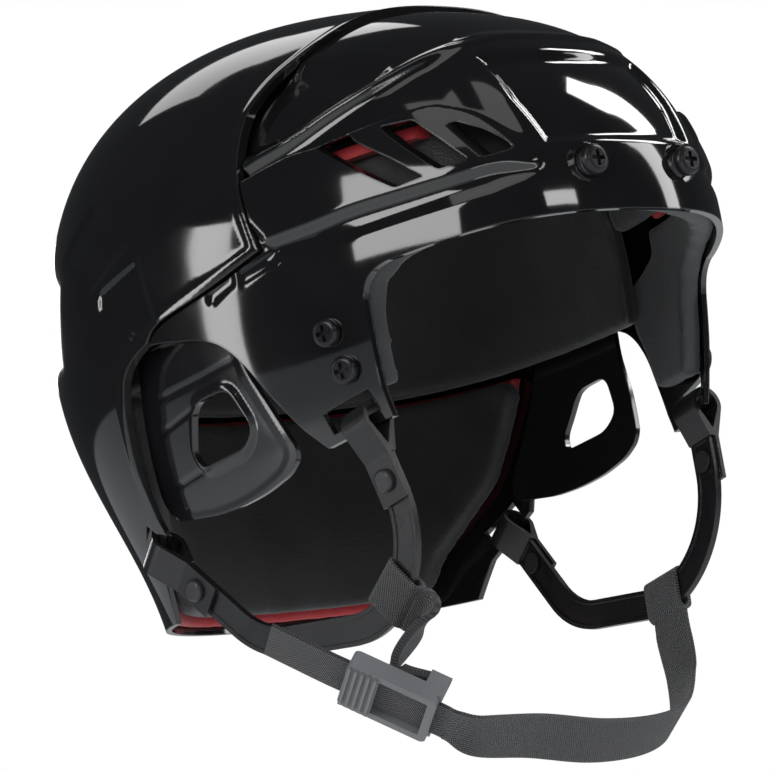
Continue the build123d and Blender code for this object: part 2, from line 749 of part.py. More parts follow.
def make_eye(frame):
    """Eye that hooks round a bar, with the folded leaf that lies on the leg."""
    leg_half = loop_plate / 2
    outside = leg_half + leaf_plate
    round_out = Circle(eye_bore + eye_plate)
    neck = Pos((outside - leg_half) / 2, eye_neck - eye_plate / 2) * Rectangle(outside + leg_half, eye_plate)
    hull_out = make_hull(round_out.edges() + neck.edges())
    tip = Pos(leaf_plate / 2, eye_neck - 2 * eye_plate) * Circle(seat_gap)
    hull_in = make_hull(Circle(eye_bore).edges() + tip.edges())
    leaf = Pos(leg_half + leaf_plate / 2, eye_neck + leaf_length / 2) * Rectangle(leaf_plate, leaf_length)
    profile = (hull_out - hull_in) + leaf
    leg = Pos(0, eye_neck + joint_gap / 2) * Rectangle(loop_plate, joint_gap)
    body = extrude(frame * profile, eye_half, both=True)
    return body + extrude(frame * leg, loop_width / 2, both=True)


def snap_at(frame):
    """Snap stud through the leaf and the leg of one eye: post with a round button and a back flange."""
    down = eye_neck + leaf_length / 2
    outside = loop_plate / 2 + leaf_plate
    middle = frame.origin + frame.y_dir * down
    out = frame.x_dir
    button = rod(middle + out * (outside + touch_gap), out, snap_head, snap_height)
    button = fillet(button.edges().filter_by(GeomType.CIRCLE).sort_by(lambda e: e.center().dot(out))[-1],
                    snap_height * head_round_share)
    behind = middle - out * (loop_plate / 2 + touch_gap)
    back = rod(behind, -out, snap_head, leaf_plate / 2)
    post = rod(behind, out, snap_post, loop_plate + leaf_plate + 2 * touch_gap)
    return button + back + post


def snap_hole(frame):
    """Hole for a snap stud's post."""
    middle = frame.origin + frame.y_dir * (eye_neck + leaf_length / 2)
    return rod(middle - frame.x_dir * overrun, frame.x_dir, snap_post + 2 * touch_gap, 2 * overrun)


def make_loop():
    """Left ear loop as one moulding."""
    body = make_strip() + [make_eye(front_eye), make_eye(rear_eye)]
    return body - [snap_hole(front_eye), snap_hole(rear_eye)]


def strap_stations(route):
    """Middle points and width directions from share tables."""
    return [(Vector(p[0] * half_width, p[1] * nose_length, p[2] * crown_height), Vector(*w).normalized())
            for p, w in route]


def ribbon(stations, width, thickness):
    """Flat strap through stations of middle point and width direction."""
    corners = []
    for i, (middle, across) in enumerate(stations):
        ahead = stations[min(i + 1, len(stations) - 1)][0]
        behind = stations[max(i - 1, 0)][0]
        way = (ahead - behind).normalized()
        across = (across - way * across.dot(way)).normalized()
        face = across.cross(way)
        a, b = across * (width / 2), face * (thickness / 2)
        rim = Polyline(middle + a + b, middle - a + b, middle - a - b, middle + a - b, close=True)
        corners.append(Wire(rim))
    return Solid.make_loft(corners, True)


def band_round(place, turn_way, lift_way):
    """Sewn eye of webbing round a loop strip: a flat ring as wide as the webbing."""
    inner_high = loop_width / 2 + web_gap
    inner_wide = loop_plate / 2 + buckle_gap
    frame = Plane(origin=place, x_dir=lift_way, z_dir=turn_way)
    outer = SlotOverall(2 * (inner_high + web_plate), 2 * (inner_wide + web_plate))
    inner = SlotOverall(2 * inner_high, 2 * inner_wide)
    return extrude(frame * (outer - inner), web_width / 2, both=True)


def loop_place(share, side):
    """Place on a loop where webbing wraps it: middle of the strip, its direction and the way outward."""
    path = loop_plane * loop_path()
    place, along = path @ share, (path % share).normalized()
    lift = along.cross(loop_inward).normalized()
    if lift.dot(loop_down) < 0:
        lift = -lift
    if side > 0:
        return place, along, lift
    return [Vector(-v.X, v.Y, v.Z) for v in (place, along, lift)]


def sewn_eye(share, side):
    """Ring of webbing round a loop strip, with the two stations at which the strap leaves it."""
    place, along, lift = loop_place(share, side)
    middle = place - lift * eye_shift
    reach = loop_width / 2 + web_gap
    ring = band_round(middle, along, lift)
    stations = [(middle + lift * (reach + web_plate / 2), along),
                (middle + lift * (reach + web_drop), along)]
    return ring, stations


def buckle_frame():
    """Frame of the buckle: X along the strap towards its tail, Y across it, Z out of its face."""
    return Plane(origin=buckle_at, x_dir=buckle_run, z_dir=buckle_run.cross(buckle_across))


def buckle_point(along, out):
    """Point of the buckle's middle plane in the object's frame."""
    return buckle_frame().from_local_coords(Vector(along, 0, out))


def make_chin_strap():
    """Chin strap from its loose tail through the buckle, under the chin and round the left loop."""
    ring, last = sewn_eye(left_web_share, 1)
    reach = buckle_length / 2 + web_drop
    stations = [(buckle_point(reach + tail_length * tail_strap_share, -tail_curl), buckle_across)]
    edge = buckle_length / 2 + buckle_gap
    stations += [(buckle_point(step, 0), buckle_across) for step in (reach, edge, -edge, -reach)]
    stations += strap_stations(chin_route_shares) + [last[1], last[0]]
    return ribbon(stations, web_width, web_plate) + ring


def make_anchor_strap():
    """Doubled strap from the right loop to the buckle's back bar, with a sewn eye at each end."""
    ring, last = sewn_eye(right_web_share, -1)
    bore = anchor_bar / 2 + touch_gap * 2
    bar = buckle_point(anchor_along, -anchor_drop)
    frame = Plane(origin=bar, x_dir=buckle_run, z_dir=buckle_across)
    bar_ring = extrude(frame * (Circle(bore + web_plate) - Circle(bore)), web_width / 2, both=True)
    sink = anchor_drop + bore + web_plate
    stations = [(buckle_point(anchor_along, -sink), buckle_across),
                (buckle_point(anchor_along + buckle_length / 2, -sink), buckle_across), last[1], last[0]]
    return ribbon(stations, web_width, 2 * web_plate) + [ring, bar_ring]


def make_buckle():
    """Slide buckle: frame with a window, lock bar, ribbed grip and lugs with the back bar."""
    half = web_width / 2 + buckle_gap + buckle_rail
    inside = web_width / 2 + buckle_gap
    channel = web_plate / 2 + buckle_gap
    plate = buckle_half_height - channel
    base = Pos(0, 0, channel + plate / 2)
    body = Box(buckle_length, 2 * half, 2 * buckle_half_height)
    body = fillet(body.edges().filter_by(Axis.Z), buckle_rail * corner_share)
    body = body - Box(buckle_length - 2 * buckle_rail, 2 * inside, overrun)
    body = body + base * Pos((buckle_length - grip_length) / 2, 0, 0) * Box(grip_length, 2 * inside, plate)
    body = body + Pos(buckle_bar, 0, -channel - plate / 2) * Box(buckle_bar, 2 * inside, plate)
    body = body - Box(2 * buckle_length, 2 * inside, 2 * channel)
    pitch = grip_length / grip_ribs
    rib = Box(pitch / 2, 2 * half - buckle_rail, grip_rib_height)
    first = buckle_length / 2 - grip_length + pitch / 2
    top = buckle_half_height + grip_rib_height / 2
    body = body + [Pos(first + i * pitch, 0, top) * rib for i in range(grip_ribs)]
    foot = anchor_drop + anchor_bar
    lug = Box(2 * anchor_bar + buckle_rail, buckle_rail, foot)
    side = inside + buckle_rail / 2
    body = body + [Pos(anchor_along, s * side, -foot / 2) * lug for s in (-1, 1)]
    bar = Pos(anchor_along, 0, -anchor_drop) * Rot(90, 0, 0) * Cylinder(anchor_bar / 2, 2 * side)
    return buckle_frame() * (body + bar)


write("front_shell", make_front_shell())
write("rear_shell", make_rear_shell())
front_red, front_inner, rear_red, rear_inner = make_liners()
write("front_red_liner", front_red)
write("front_inner_liner", front_inner)
write("rear_red_liner", rear_red)
write("rear_inner_liner", rear_inner)
nape_pad, nape_red = make_nape_pads()
write("nape_pad", nape_pad)
write("nape_backing", nape_red)
brow_pad = make_brow_pad()
write("brow_pad_left", brow_pad)
write("brow_pad_right", mirror(brow_pad, about=Plane.YZ))
guard = make_guard()
write("ear_guard_left", guard)
write("ear_guard_right", mirror(guard, about=Plane.YZ))
brow_screws, brow_washers, brow_nuts = make_brow_fasteners()
write("brow_screws", brow_screws)
write("brow_washers", brow_washers)
write("brow_nuts", brow_nuts)
side_screws, side_nuts = make_side_fasteners()
write("side_screws", side_screws)
write("side_nuts", side_nuts)
write("size_pegs", make_size_pegs())
loop = make_loop()
write("left_ear_loop", loop)
write("right_ear_loop", mirror(loop, about=Plane.YZ))
snaps = [snap_at(front_eye), snap_at(rear_eye)]
write("left_loop_snaps", snaps)
write("right_loop_snaps", [mirror(s, about=Plane.YZ) for s in snaps])
write("chin_strap", make_chin_strap())
write("anchor_strap", make_anchor_strap())
write("buckle", make_buckle())
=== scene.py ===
import json
import logging
import math
from dataclasses import dataclass, field
from enum import Enum
from typing import Callable, Iterable, Sequence

import bmesh
import bpy
import numpy as np
from mathutils import Matrix, Vector

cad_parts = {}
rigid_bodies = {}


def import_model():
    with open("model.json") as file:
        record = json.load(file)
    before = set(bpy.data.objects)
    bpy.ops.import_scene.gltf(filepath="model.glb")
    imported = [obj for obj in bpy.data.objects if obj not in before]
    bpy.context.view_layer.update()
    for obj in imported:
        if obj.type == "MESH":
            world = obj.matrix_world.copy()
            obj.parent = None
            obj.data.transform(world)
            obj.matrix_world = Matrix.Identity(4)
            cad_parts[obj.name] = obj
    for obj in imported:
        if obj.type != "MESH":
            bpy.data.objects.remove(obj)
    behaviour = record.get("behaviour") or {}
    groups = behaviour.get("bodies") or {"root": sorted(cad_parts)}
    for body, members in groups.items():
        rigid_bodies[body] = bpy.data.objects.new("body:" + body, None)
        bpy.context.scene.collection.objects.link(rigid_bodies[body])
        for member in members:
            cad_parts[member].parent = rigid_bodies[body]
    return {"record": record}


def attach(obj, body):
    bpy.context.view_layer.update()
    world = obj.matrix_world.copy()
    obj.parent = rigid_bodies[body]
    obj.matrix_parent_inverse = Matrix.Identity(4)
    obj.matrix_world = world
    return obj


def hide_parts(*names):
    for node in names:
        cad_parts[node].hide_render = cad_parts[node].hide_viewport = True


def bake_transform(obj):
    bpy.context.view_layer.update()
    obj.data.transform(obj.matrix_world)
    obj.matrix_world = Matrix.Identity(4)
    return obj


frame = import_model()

logging.basicConfig(level=logging.INFO, format="%(message)s")
LOG = logging.getLogger("helmet")
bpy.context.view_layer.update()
Outline = list[tuple[float, float]]
Triple = tuple[float, float, float]
DepthField = Callable[[np.ndarray], np.ndarray]
FAR = 1e9
TINY = 1e-12
BOTH_SIDES = (-1, 1)


class Body(Enum):
    """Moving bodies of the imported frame."""

    REAR = "rear_body"
    FRONT = "front_body"
    LEFT_LOOP = "left_loop"
    RIGHT_LOOP = "right_loop"
    BUCKLE = "buckle_body"


class Slot(Enum):
    """Material slots of the record."""

    SHELL = "shell"
    GUARD = "guard"
    LOOP = "loop"
    RED = "eva_red"
    BLACK = "foam_black"
    BROW = "brow_foam"
    WEBBING = "webbing"
    BUCKLE = "buckle"
    SCREW = "screw"
    NUT = "nut"
    SNAP = "snap"


class Cut(Enum):
    """Ways in which a tool changes a piece."""

    AWAY = "DIFFERENCE"
    KEEP = "INTERSECT"
    ADD = "UNION"


@dataclass(frozen=True)
class DomeSizes:
    """Sizes of the dome that all shells and liners follow, in metres, degrees and powers."""

    half_width: float = 0.111
    nose: float = 0.144
    tail: float = 0.150
    crown: float = 0.1205
    skirt: float = 0.140
    lean: float = 12.0
    spread: float = 0.1676
    plan_power: float = 2.5
    rise_power: float = 2.4
    skirt_share: float = 0.62
    skirt_drop: float = 0.785
    skirt_power: float = 2.5
    rounds: int = 25


class Dome:
    """Head-shaped dome, evaluated at any depth below its outer face."""

    def __init__(self, sizes: DomeSizes) -> None:
        """Keep the sizes."""
        self.s = sizes

    def point(self, phi: np.ndarray, rise: np.ndarray, depth: np.ndarray) -> np.ndarray:
        """Points on the dome.

        Args:
            phi: Angle round the dome's own axis.
            rise: -1 at the skirt's foot, 0 at the widest level, 1 at the crown.
            depth: Depth below the outer face, in metres.

        Returns:
            Points in the object's frame, one row each.
        """
        s = self.s
        phi, rise, depth = np.broadcast_arrays(phi, rise, depth)
        crown = s.crown - depth
        height = np.where(rise > 0, crown * np.sin(rise * np.pi / 2), rise * s.skirt)
        up = np.abs(np.where(rise > 0, height, 0) / crown) ** s.rise_power
        sunk = np.where(rise > 0, 0, -height) / (s.skirt_drop * s.crown)
        down = s.skirt_share * (1 - np.exp(-sunk ** s.skirt_power))
        plan = np.clip(1 - up - down, 0, None) ** (s.plan_power / s.rise_power)
        reach = np.where(np.sin(phi) < 0, s.nose, s.tail) - depth
        radius = np.full(phi.shape, s.half_width)
        for _ in range(s.rounds):
            across = (s.half_width - depth) * (1 + s.spread * radius * np.sin(phi) / s.half_width)
            unit = ((np.abs(np.cos(phi)) / across) ** s.plan_power
                    + (np.abs(np.sin(phi)) / reach) ** s.plan_power)
            radius = (plan / unit) ** (1 / s.plan_power)
        x, y = radius * np.cos(phi), radius * np.sin(phi)
        lean = math.radians(s.lean)
        return np.stack([x, y * math.cos(lean) - height * math.sin(lean),
                         y * math.sin(lean) + height * math.cos(lean)], -1)


DOME = Dome(DomeSizes())


def spline(points: np.ndarray, steps: int) -> np.ndarray:
    """Catmull-Rom curve from the second to the last but one of its points.

    Args:
        points: Control points, one row each.
        steps: Steps between two neighbouring points.

    Returns:
        Points of the curve, one row each.
    """
    p, rows = points, []
    for i in range(1, len(p) - 2):
        for t in np.linspace(0, 1, steps, endpoint=False):
            a = 2 * p[i] + (p[i + 1] - p[i - 1]) * t
            b = (2 * p[i - 1] - 5 * p[i] + 4 * p[i + 1] - p[i + 2]) * t ** 2
            c = (3 * p[i] - p[i - 1] - 3 * p[i + 1] + p[i + 2]) * t ** 3
            rows.append((a + b + c) / 2)
    return np.array(rows + [p[-2]])


def smooth_line(points: Outline, steps: int = 6) -> Outline:
    """Smooth side-view line through all its points."""
    return [tuple(row) for row in spline(np.array([points[0], *points, points[-1]], float), steps)]


def side(points: Sequence[tuple[float, float]]) -> Outline:
    """Side-view shares of the nose length and the crown height to metres."""
    return [(y * DOME.s.nose, z * DOME.s.crown) for y, z in points]


def front_view(points: Sequence[tuple[float, float]]) -> Outline:
    """Front-view shares of the half width and the crown height to metres."""
    return [(x * DOME.s.half_width, z * DOME.s.crown) for x, z in points]


def segment_distance(a: np.ndarray, b: np.ndarray, u: np.ndarray, v: np.ndarray) -> np.ndarray:
    """Distance from the points (u, v) to the segment from a to b."""
    ab = b - a
    t = np.clip(((u - a[0]) * ab[0] + (v - a[1]) * ab[1]) / max(ab @ ab, TINY), 0, 1)
    return np.hypot(u - a[0] - t * ab[0], v - a[1] - t * ab[1])


def inside_distance(outline: Outline, u: np.ndarray, v: np.ndarray) -> np.ndarray:
    """Signed distance to a closed outline.

    Args:
        outline: Corners of the outline.
        u: First coordinate of the points.
        v: Second coordinate of the points.

    Returns:
        Distances, positive inside the outline.
    """
    corners = np.array(outline, float)
    best = np.full(u.shape, FAR)
    odd = np.zeros(u.shape, bool)
    for a, b in zip(corners, np.roll(corners, -1, 0)):
        best = np.minimum(best, segment_distance(a, b, u, v))
        rise = b[1] - a[1] if b[1] - a[1] else TINY
        odd ^= ((a[1] > v) != (b[1] > v)) & (u < a[0] + (v - a[1]) * (b[0] - a[0]) / rise)
    return np.where(odd, best, -best)


def line_distance(line: Outline, u: np.ndarray, v: np.ndarray) -> np.ndarray:
    """Distance from the points (u, v) to an open line."""
    corners = np.array(line, float)
    best = np.full(u.shape, FAR)
    for a, b in zip(corners, corners[1:]):
        best = np.minimum(best, segment_distance(a, b, u, v))
    return best


def step(x: np.ndarray, width: float) -> np.ndarray:
    """Smooth step from 0 to 1 across a width centred on 0."""
    t = np.clip(x / width + 0.5, 0, 1)
    return t * t * (3 - 2 * t)


def settle(d: np.ndarray, target: float, inside: np.ndarray, width: float,
           share: np.ndarray | float = 1.0) -> np.ndarray:
    """Draw depths to a target inside an outline.

    Args:
        d: Depths so far.
        target: Depth inside the outline.
        inside: Signed distance to the outline.
        width: Width of the slope along the outline.
        share: Share of the change that is made.

    Returns:
        The new depths.
    """
    return d + (target - d) * step(inside, width) * share


def rounded(outline: Outline, radius: float, steps: int = 6) -> Outline:
    """Round the corners of an outline.

    Args:
        outline: Corners of the outline.
        radius: Length that is cut from each side of a corner.
        steps: Points of each round corner.

    Returns:
        The new outline.
    """
    least_sides = 2.2
    corners = [np.array(p, float) for p in outline]
    out: Outline = []
    for i, p in enumerate(corners):
        a, b = corners[i - 1] - p, corners[(i + 1) % len(corners)] - p
        long_a, long_b = np.linalg.norm(a), np.linalg.norm(b)
        r = min(radius, long_a / least_sides, long_b / least_sides)
        start, end = p + a / long_a * r, p + b / long_b * r
        for t in np.linspace(0, 1, steps):
            out.append(tuple((1 - t) ** 2 * start + 2 * t * (1 - t) * p + t ** 2 * end))
    return out


class Lines:
    """Outlines seen from the side, in metres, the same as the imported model's."""

    SPLIT = side([(-0.345, 1.15), (-0.330, 0.898), (-0.323, 0.826), (-0.296, 0.755), (-0.256, 0.694),
                  (-0.222, 0.621), (-0.208, 0.558), (-0.210, 0.402), (-0.235, 0.270), (-0.272, 0.126)])
    FOOT = side([(-0.272, 0.126), (-0.088, 0.060), (0.119, 0.003), (0.175, -0.046)])
    EAR_TOP = side([(0.175, -0.054), (0.110, -0.063), (-0.019, -0.093), (-0.090, -0.135)])
    EAR_FRONT = side([(-0.090, -0.135), (-0.152, -0.217), (-0.206, -0.330), (-0.270, -0.452)])
    EAR_BACK = side([(0.175, -0.046), (0.240, -0.078), (0.290, -0.122), (0.322, -0.190), (0.353, -0.300),
                     (0.386, -0.446), (0.400, -0.580)])
    RIM = side([(-0.521, -0.374), (-0.529, -0.266), (-0.535, -0.158), (-0.541, -0.091), (-0.563, -0.041),
                (-0.604, -0.012), (-0.653, -0.002), (-0.813, 0.026), (-0.944, 0.039), (-1.150, 0.041)])
    RIDGE = side([(-0.170, 0.400), (-0.248, 0.423), (-0.349, 0.456), (-0.451, 0.509), (-0.581, 0.584),
                  (-0.646, 0.637), (-0.706, 0.686), (-0.727, 0.706), (-1.150, 0.730)])
    SCOOP = side([(-0.190, 0.470), (-0.350, 0.492), (-0.451, 0.546), (-0.560, 0.622), (-0.530, 0.668),
                  (-0.400, 0.708), (-0.250, 0.716)])
    BAND_TOP = side([(-0.150, 0.352), (-0.212, 0.369), (-0.354, 0.405), (-0.451, 0.410), (-0.558, 0.431),
                     (-0.701, 0.460), (-0.763, 0.442), (-0.826, 0.391), (-0.915, 0.273), (-0.936, 0.251)])
    BAND_FOOT = side([(-0.930, 0.183), (-0.874, 0.208), (-0.782, 0.193), (-0.672, 0.179), (-0.544, 0.168),
                      (-0.433, 0.151), (-0.300, 0.140)])
    CHANNEL = side([(-0.300, 0.100), (-0.485, 0.096), (-0.713, 0.122), (-0.860, 0.150)])
    VENTS = [side(v) for v in (
        [(-0.453, 0.402), (-0.540, 0.420), (-0.557, 0.392), (-0.649, 0.308), (-0.730, 0.224),
         (-0.662, 0.208), (-0.558, 0.302)],
        [(-0.617, 0.416), (-0.694, 0.416), (-0.763, 0.330), (-0.820, 0.249), (-0.760, 0.236),
         (-0.690, 0.323)],
        [(-0.765, 0.378), (-0.785, 0.383), (-0.842, 0.340), (-0.880, 0.295), (-0.896, 0.264),
         (-0.845, 0.250)])]
    # Cut from the red liner on both sides, partly real holes behind the vents and partly painted shade: the
    # red foam stays only in a thin strip where light falls into each vent, and the black liner behind shows
    # where the vents lie in shade.
    VENT_HOLES_AND_SHADE = [side(w) for w in (
        [(-0.900, 0.200), (-0.330, 0.200), (-0.330, 0.342), (-0.646, 0.374), (-0.646, 0.520),
         (-0.900, 0.520)],
        [(-0.660, 0.416), (-0.360, 0.388), (-0.360, 0.520), (-0.660, 0.520)])]
    # Cut from the lower front of the red liners as painted shade: the black liner shows where the red foam
    # lies in shade under the brow.
    SHADE_CORNER = side([(-0.430, 0.040), (-0.150, 0.040), (-0.150, 0.250), (-0.430, 0.250)])
    PANEL = side([(0.159, 0.239), (0.119, 0.003), (-0.271, 0.126), (-0.212, 0.357), (0.000, 0.322)])
    ARROW = side([(0.370, 0.466), (0.197, 0.294), (0.404, 0.184), (0.552, 0.333)])
    FACET = side([(0.175, 0.225), (0.355, 0.166), (0.362, 0.112), (0.222, -0.020), (0.140, 0.010)])
    GUARD = side([(-0.060, 0.075), (-0.080, -0.200), (-0.130, -0.337), (-0.171, -0.480), (-0.160, -0.520),
                  (-0.113, -0.559), (-0.010, -0.593), (0.100, -0.610), (0.217, -0.614), (0.400, -0.592),
                  (0.425, -0.520), (0.305, -0.033), (0.292, 0.075)])
    GUARD_HOLE = side([(0.135, -0.262), (-0.005, -0.246), (-0.055, -0.385), (-0.002, -0.440),
                       (0.185, -0.462), (0.200, -0.410)])
    GUARD_CREASES = [side(c) for c in (((0.360, -0.212), (0.090, -0.186), (-0.054, -0.166)),
                                       ((0.370, -0.320), (0.140, -0.268)),
                                       ((0.420, -0.494), (0.170, -0.462)))]
    FRONT_BAR = [(-0.0459, -0.0630), (-0.0751, -0.0572)]
    REAR_BAR = [(0.0569, -0.0762), (0.0750, -0.0934)]
    TONGUE = side([(-0.420, 1.150), (-0.420, 0.880), (-0.360, 0.720), (-0.300, 0.560), (-0.300, 0.380),
                   (-0.345, 0.100), (-0.080, -0.040), (0.175, -0.054), (0.235, -0.060), (0.215, 0.100),
                   (0.110, 0.330), (0.000, 0.580), (-0.110, 0.830), (-0.139, 1.150)])
    TAIL = side([(0.560, -0.905), (1.200, -0.905), (1.200, 1.150)])
    MARKS = [side(m) for m in (((-0.155, 0.062), (-0.085, 0.030)), ((-0.310, 0.092), (-0.205, 0.062)),
                               ((-0.440, 0.098), (-0.370, 0.088)))]


BLOCK = front_view([(-0.400, 0.900), (0.400, 0.900), (0.455, 0.420), (0.420, 0.110), (-0.420, 0.110),
                    (-0.455, 0.420)])
POCKET = front_view([(-0.350, 0.610), (0.350, 0.610), (0.352, 0.440), (0.318, 0.285), (-0.318, 0.285),
                     (-0.352, 0.440)])


# Mesh helpers
def new_object(name: str, verts: Iterable[Iterable[float]],
               faces: Iterable[Iterable[int]]) -> bpy.types.Object:
    """Mesh object whose faces are turned outward.

    Args:
        name: Object name.
        verts: Points, one row each.
        faces: Corner numbers of each face.

    Returns:
        The linked object.
    """
    mesh = bpy.data.meshes.new(name)
    mesh.from_pydata([tuple(v) for v in verts], [], [tuple(f) for f in faces])
    mesh.validate()
    obj = bpy.data.objects.new(name, mesh)
    bpy.context.scene.collection.objects.link(obj)
    bm = bmesh.new()
    bm.from_mesh(mesh)
    bmesh.ops.recalc_face_normals(bm, faces=bm.faces)
    bm.to_mesh(mesh)
    bm.free()
    return obj


def tube_faces(n: int) -> list[tuple[int, ...]]:
    """Faces of a closed tube between two rings of n points, the first ring given first."""
    ends = [tuple(range(n)), tuple(range(2 * n - 1, n - 1, -1))]
    return ends + [(i, (i + 1) % n, n + (i + 1) % n, n + i) for i in range(n)]


def prism(outline: Outline, low: float = -0.3, high: float = 0.3) -> bpy.types.Object:
    """Closed prism of a side-view outline between two places across the helmet."""
    rows = [(end, u, v) for end in (low, high) for u, v in outline]
    return new_object("tool", rows, tube_faces(len(outline)))


def side_prisms(outline: Outline, near: float = 0.030, far: float = 0.3) -> list[bpy.types.Object]:
    """One prism of a side-view outline on each side, clear of the middle."""
    return [prism(outline, low, high) for low, high in ((-far, -near), (near, far))]


def rod(start: Vector, way: Vector, radius: float, length: float, sides: int = 40) -> bpy.types.Object:
    """Closed cylinder.

    Args:
        start: Middle of the first end.
        way: Direction of the axis.
        radius: Radius in metres.
        length: Length in metres.
        sides: Number of side faces.

    Returns:
        The cylinder as a new object.
    """
    turn = way.to_track_quat("Z", "Y").to_matrix()
    rows = []
    for h in (0.0, length):
        for i in range(sides):
            a = 2 * math.pi * i / sides
            rows.append(start + turn @ Vector((radius * math.cos(a), radius * math.sin(a), h)))
    return new_object("tool", rows, tube_faces(sides))


def cut(obj: bpy.types.Object, tools: Iterable[bpy.types.Object], way: Cut = Cut.AWAY) -> None:
    """Apply one boolean per tool and remove the tools.

    Args:
        obj: Piece that is changed.
        tools: Closed objects.
        way: What each tool does to the piece.
    """
    bpy.context.view_layer.objects.active = obj
    for tool in tools:
        mod = obj.modifiers.new("cut", "BOOLEAN")
        mod.operation, mod.object, mod.solver = way.value, tool, "MANIFOLD"
        bpy.ops.object.modifier_apply(modifier=mod.name)
        bpy.data.objects.remove(tool)


@dataclass(frozen=True)
class Grid:
    """Columns and rows of a dome mesh: fine in one sector, in degrees, and above one level, in metres."""

    middle: float
    half: float
    column: float
    low: float
    row: float
    coarse: float = 5.0
    foot: float = -1.0
    foot_rows: int = 5
    top: float = 0.97
    skirt_length: float = 0.140
    rise_length: float = 0.150

    def phis(self) -> np.ndarray:
        """Column angles all round, in radians."""
        start, end = self.middle + self.half, self.middle - self.half + 360
        dense = np.arange(self.middle - self.half, start, self.column)
        rest = np.arange(start, end, self.coarse)
        return np.radians(np.concatenate([dense, rest[rest < end - self.coarse / 2]]))

    def rises(self) -> np.ndarray:
        """Row levels from the foot to near the crown."""
        skirt = np.arange(self.low, 0, self.row / self.skirt_length)
        dome = np.arange(0, self.top, self.row / self.rise_length)
        rows = np.concatenate([np.linspace(-1, self.low, self.foot_rows)[:-1], skirt, dome])
        rows[0] = self.foot
        return rows


def block(name: str, depth: DepthField | float, grid: Grid) -> bpy.types.Object:
    """Closed solid under the dome at a depth that may vary over it.

    Args:
        name: Object name.
        depth: Depth in metres, or a function of the points at depth 0.
        grid: Columns and rows of the mesh.

    Returns:
        The closed mesh object.
    """
    deep = depth if callable(depth) else lambda p: np.full(p.shape[:-1], float(depth))
    phi, rise = np.meshgrid(grid.phis(), grid.rises())
    rows, cols = phi.shape
    pts = DOME.point(phi, rise, deep(DOME.point(phi, rise, np.zeros(phi.shape))))
    top = (np.array([0.0]), np.array([1.0]))
    crown = DOME.point(*top, deep(DOME.point(*top, np.array([0.0]))))
    verts = np.vstack([pts.reshape(-1, 3), crown, pts[0].mean(0, keepdims=True)])
    faces = []
    for r in range(rows - 1):
        a = np.arange(cols) + r * cols
        b = np.roll(a, -1)
        faces += np.stack([a, b, b + cols, a + cols], -1).tolist()
    last, first = (rows - 1) * cols, rows * cols
    faces += [(last + i, last + (i + 1) % cols, first) for i in range(cols)]
    faces += [((i + 1) % cols, i, first + 1) for i in range(cols)]
    return new_object(name, verts, faces)


def shade(obj: bpy.types.Object, angle: float = 50.0) -> None:
    """Smooth shading with sharp edges.

    Args:
        obj: The piece.
        angle: Angle in degrees above which an edge stays sharp.
    """
    mesh = obj.data
    mesh.shade_smooth()
    bm = bmesh.new()
    bm.from_mesh(mesh)
    limit = math.radians(angle)
    for edge in bm.edges:
        edge.smooth = not (len(edge.link_faces) == 2 and edge.calc_face_angle(0) > limit)
    bm.to_mesh(mesh)
    bm.free()


@dataclass(frozen=True)
class Bend:
    """Where a soft piece crosses one joint: the body before a point and the body after the next; nothing
    moves the piece with them, as it is only baked in place.
    """

    before: Body
    after: Body
    start: Vector
    end: Vector


def piece(obj: bpy.types.Object, body: Body | Bend, material: bpy.types.Material,
          nodes: Sequence[str] = ()) -> bpy.types.Object:
    """Finish a piece.

    Args:
        obj: The piece, with its place in its mesh.
        body: Body it rides on, or the joint it crosses, in which case it is baked in place on no body.
        material: Its only material.
        nodes: CAD nodes it stands for.

    Returns:
        The same object.
    """
    obj.data.materials.clear()
    obj.data.materials.append(material)
    if isinstance(body, Bend):
        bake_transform(obj)
    else:
        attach(obj, body.value)
    if nodes:
        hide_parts(*nodes)
    LOG.info("piece %s: %d faces", obj.name, len(obj.data.polygons))
    return obj


# Finishes
BUMP_DEPTH = 0.0004


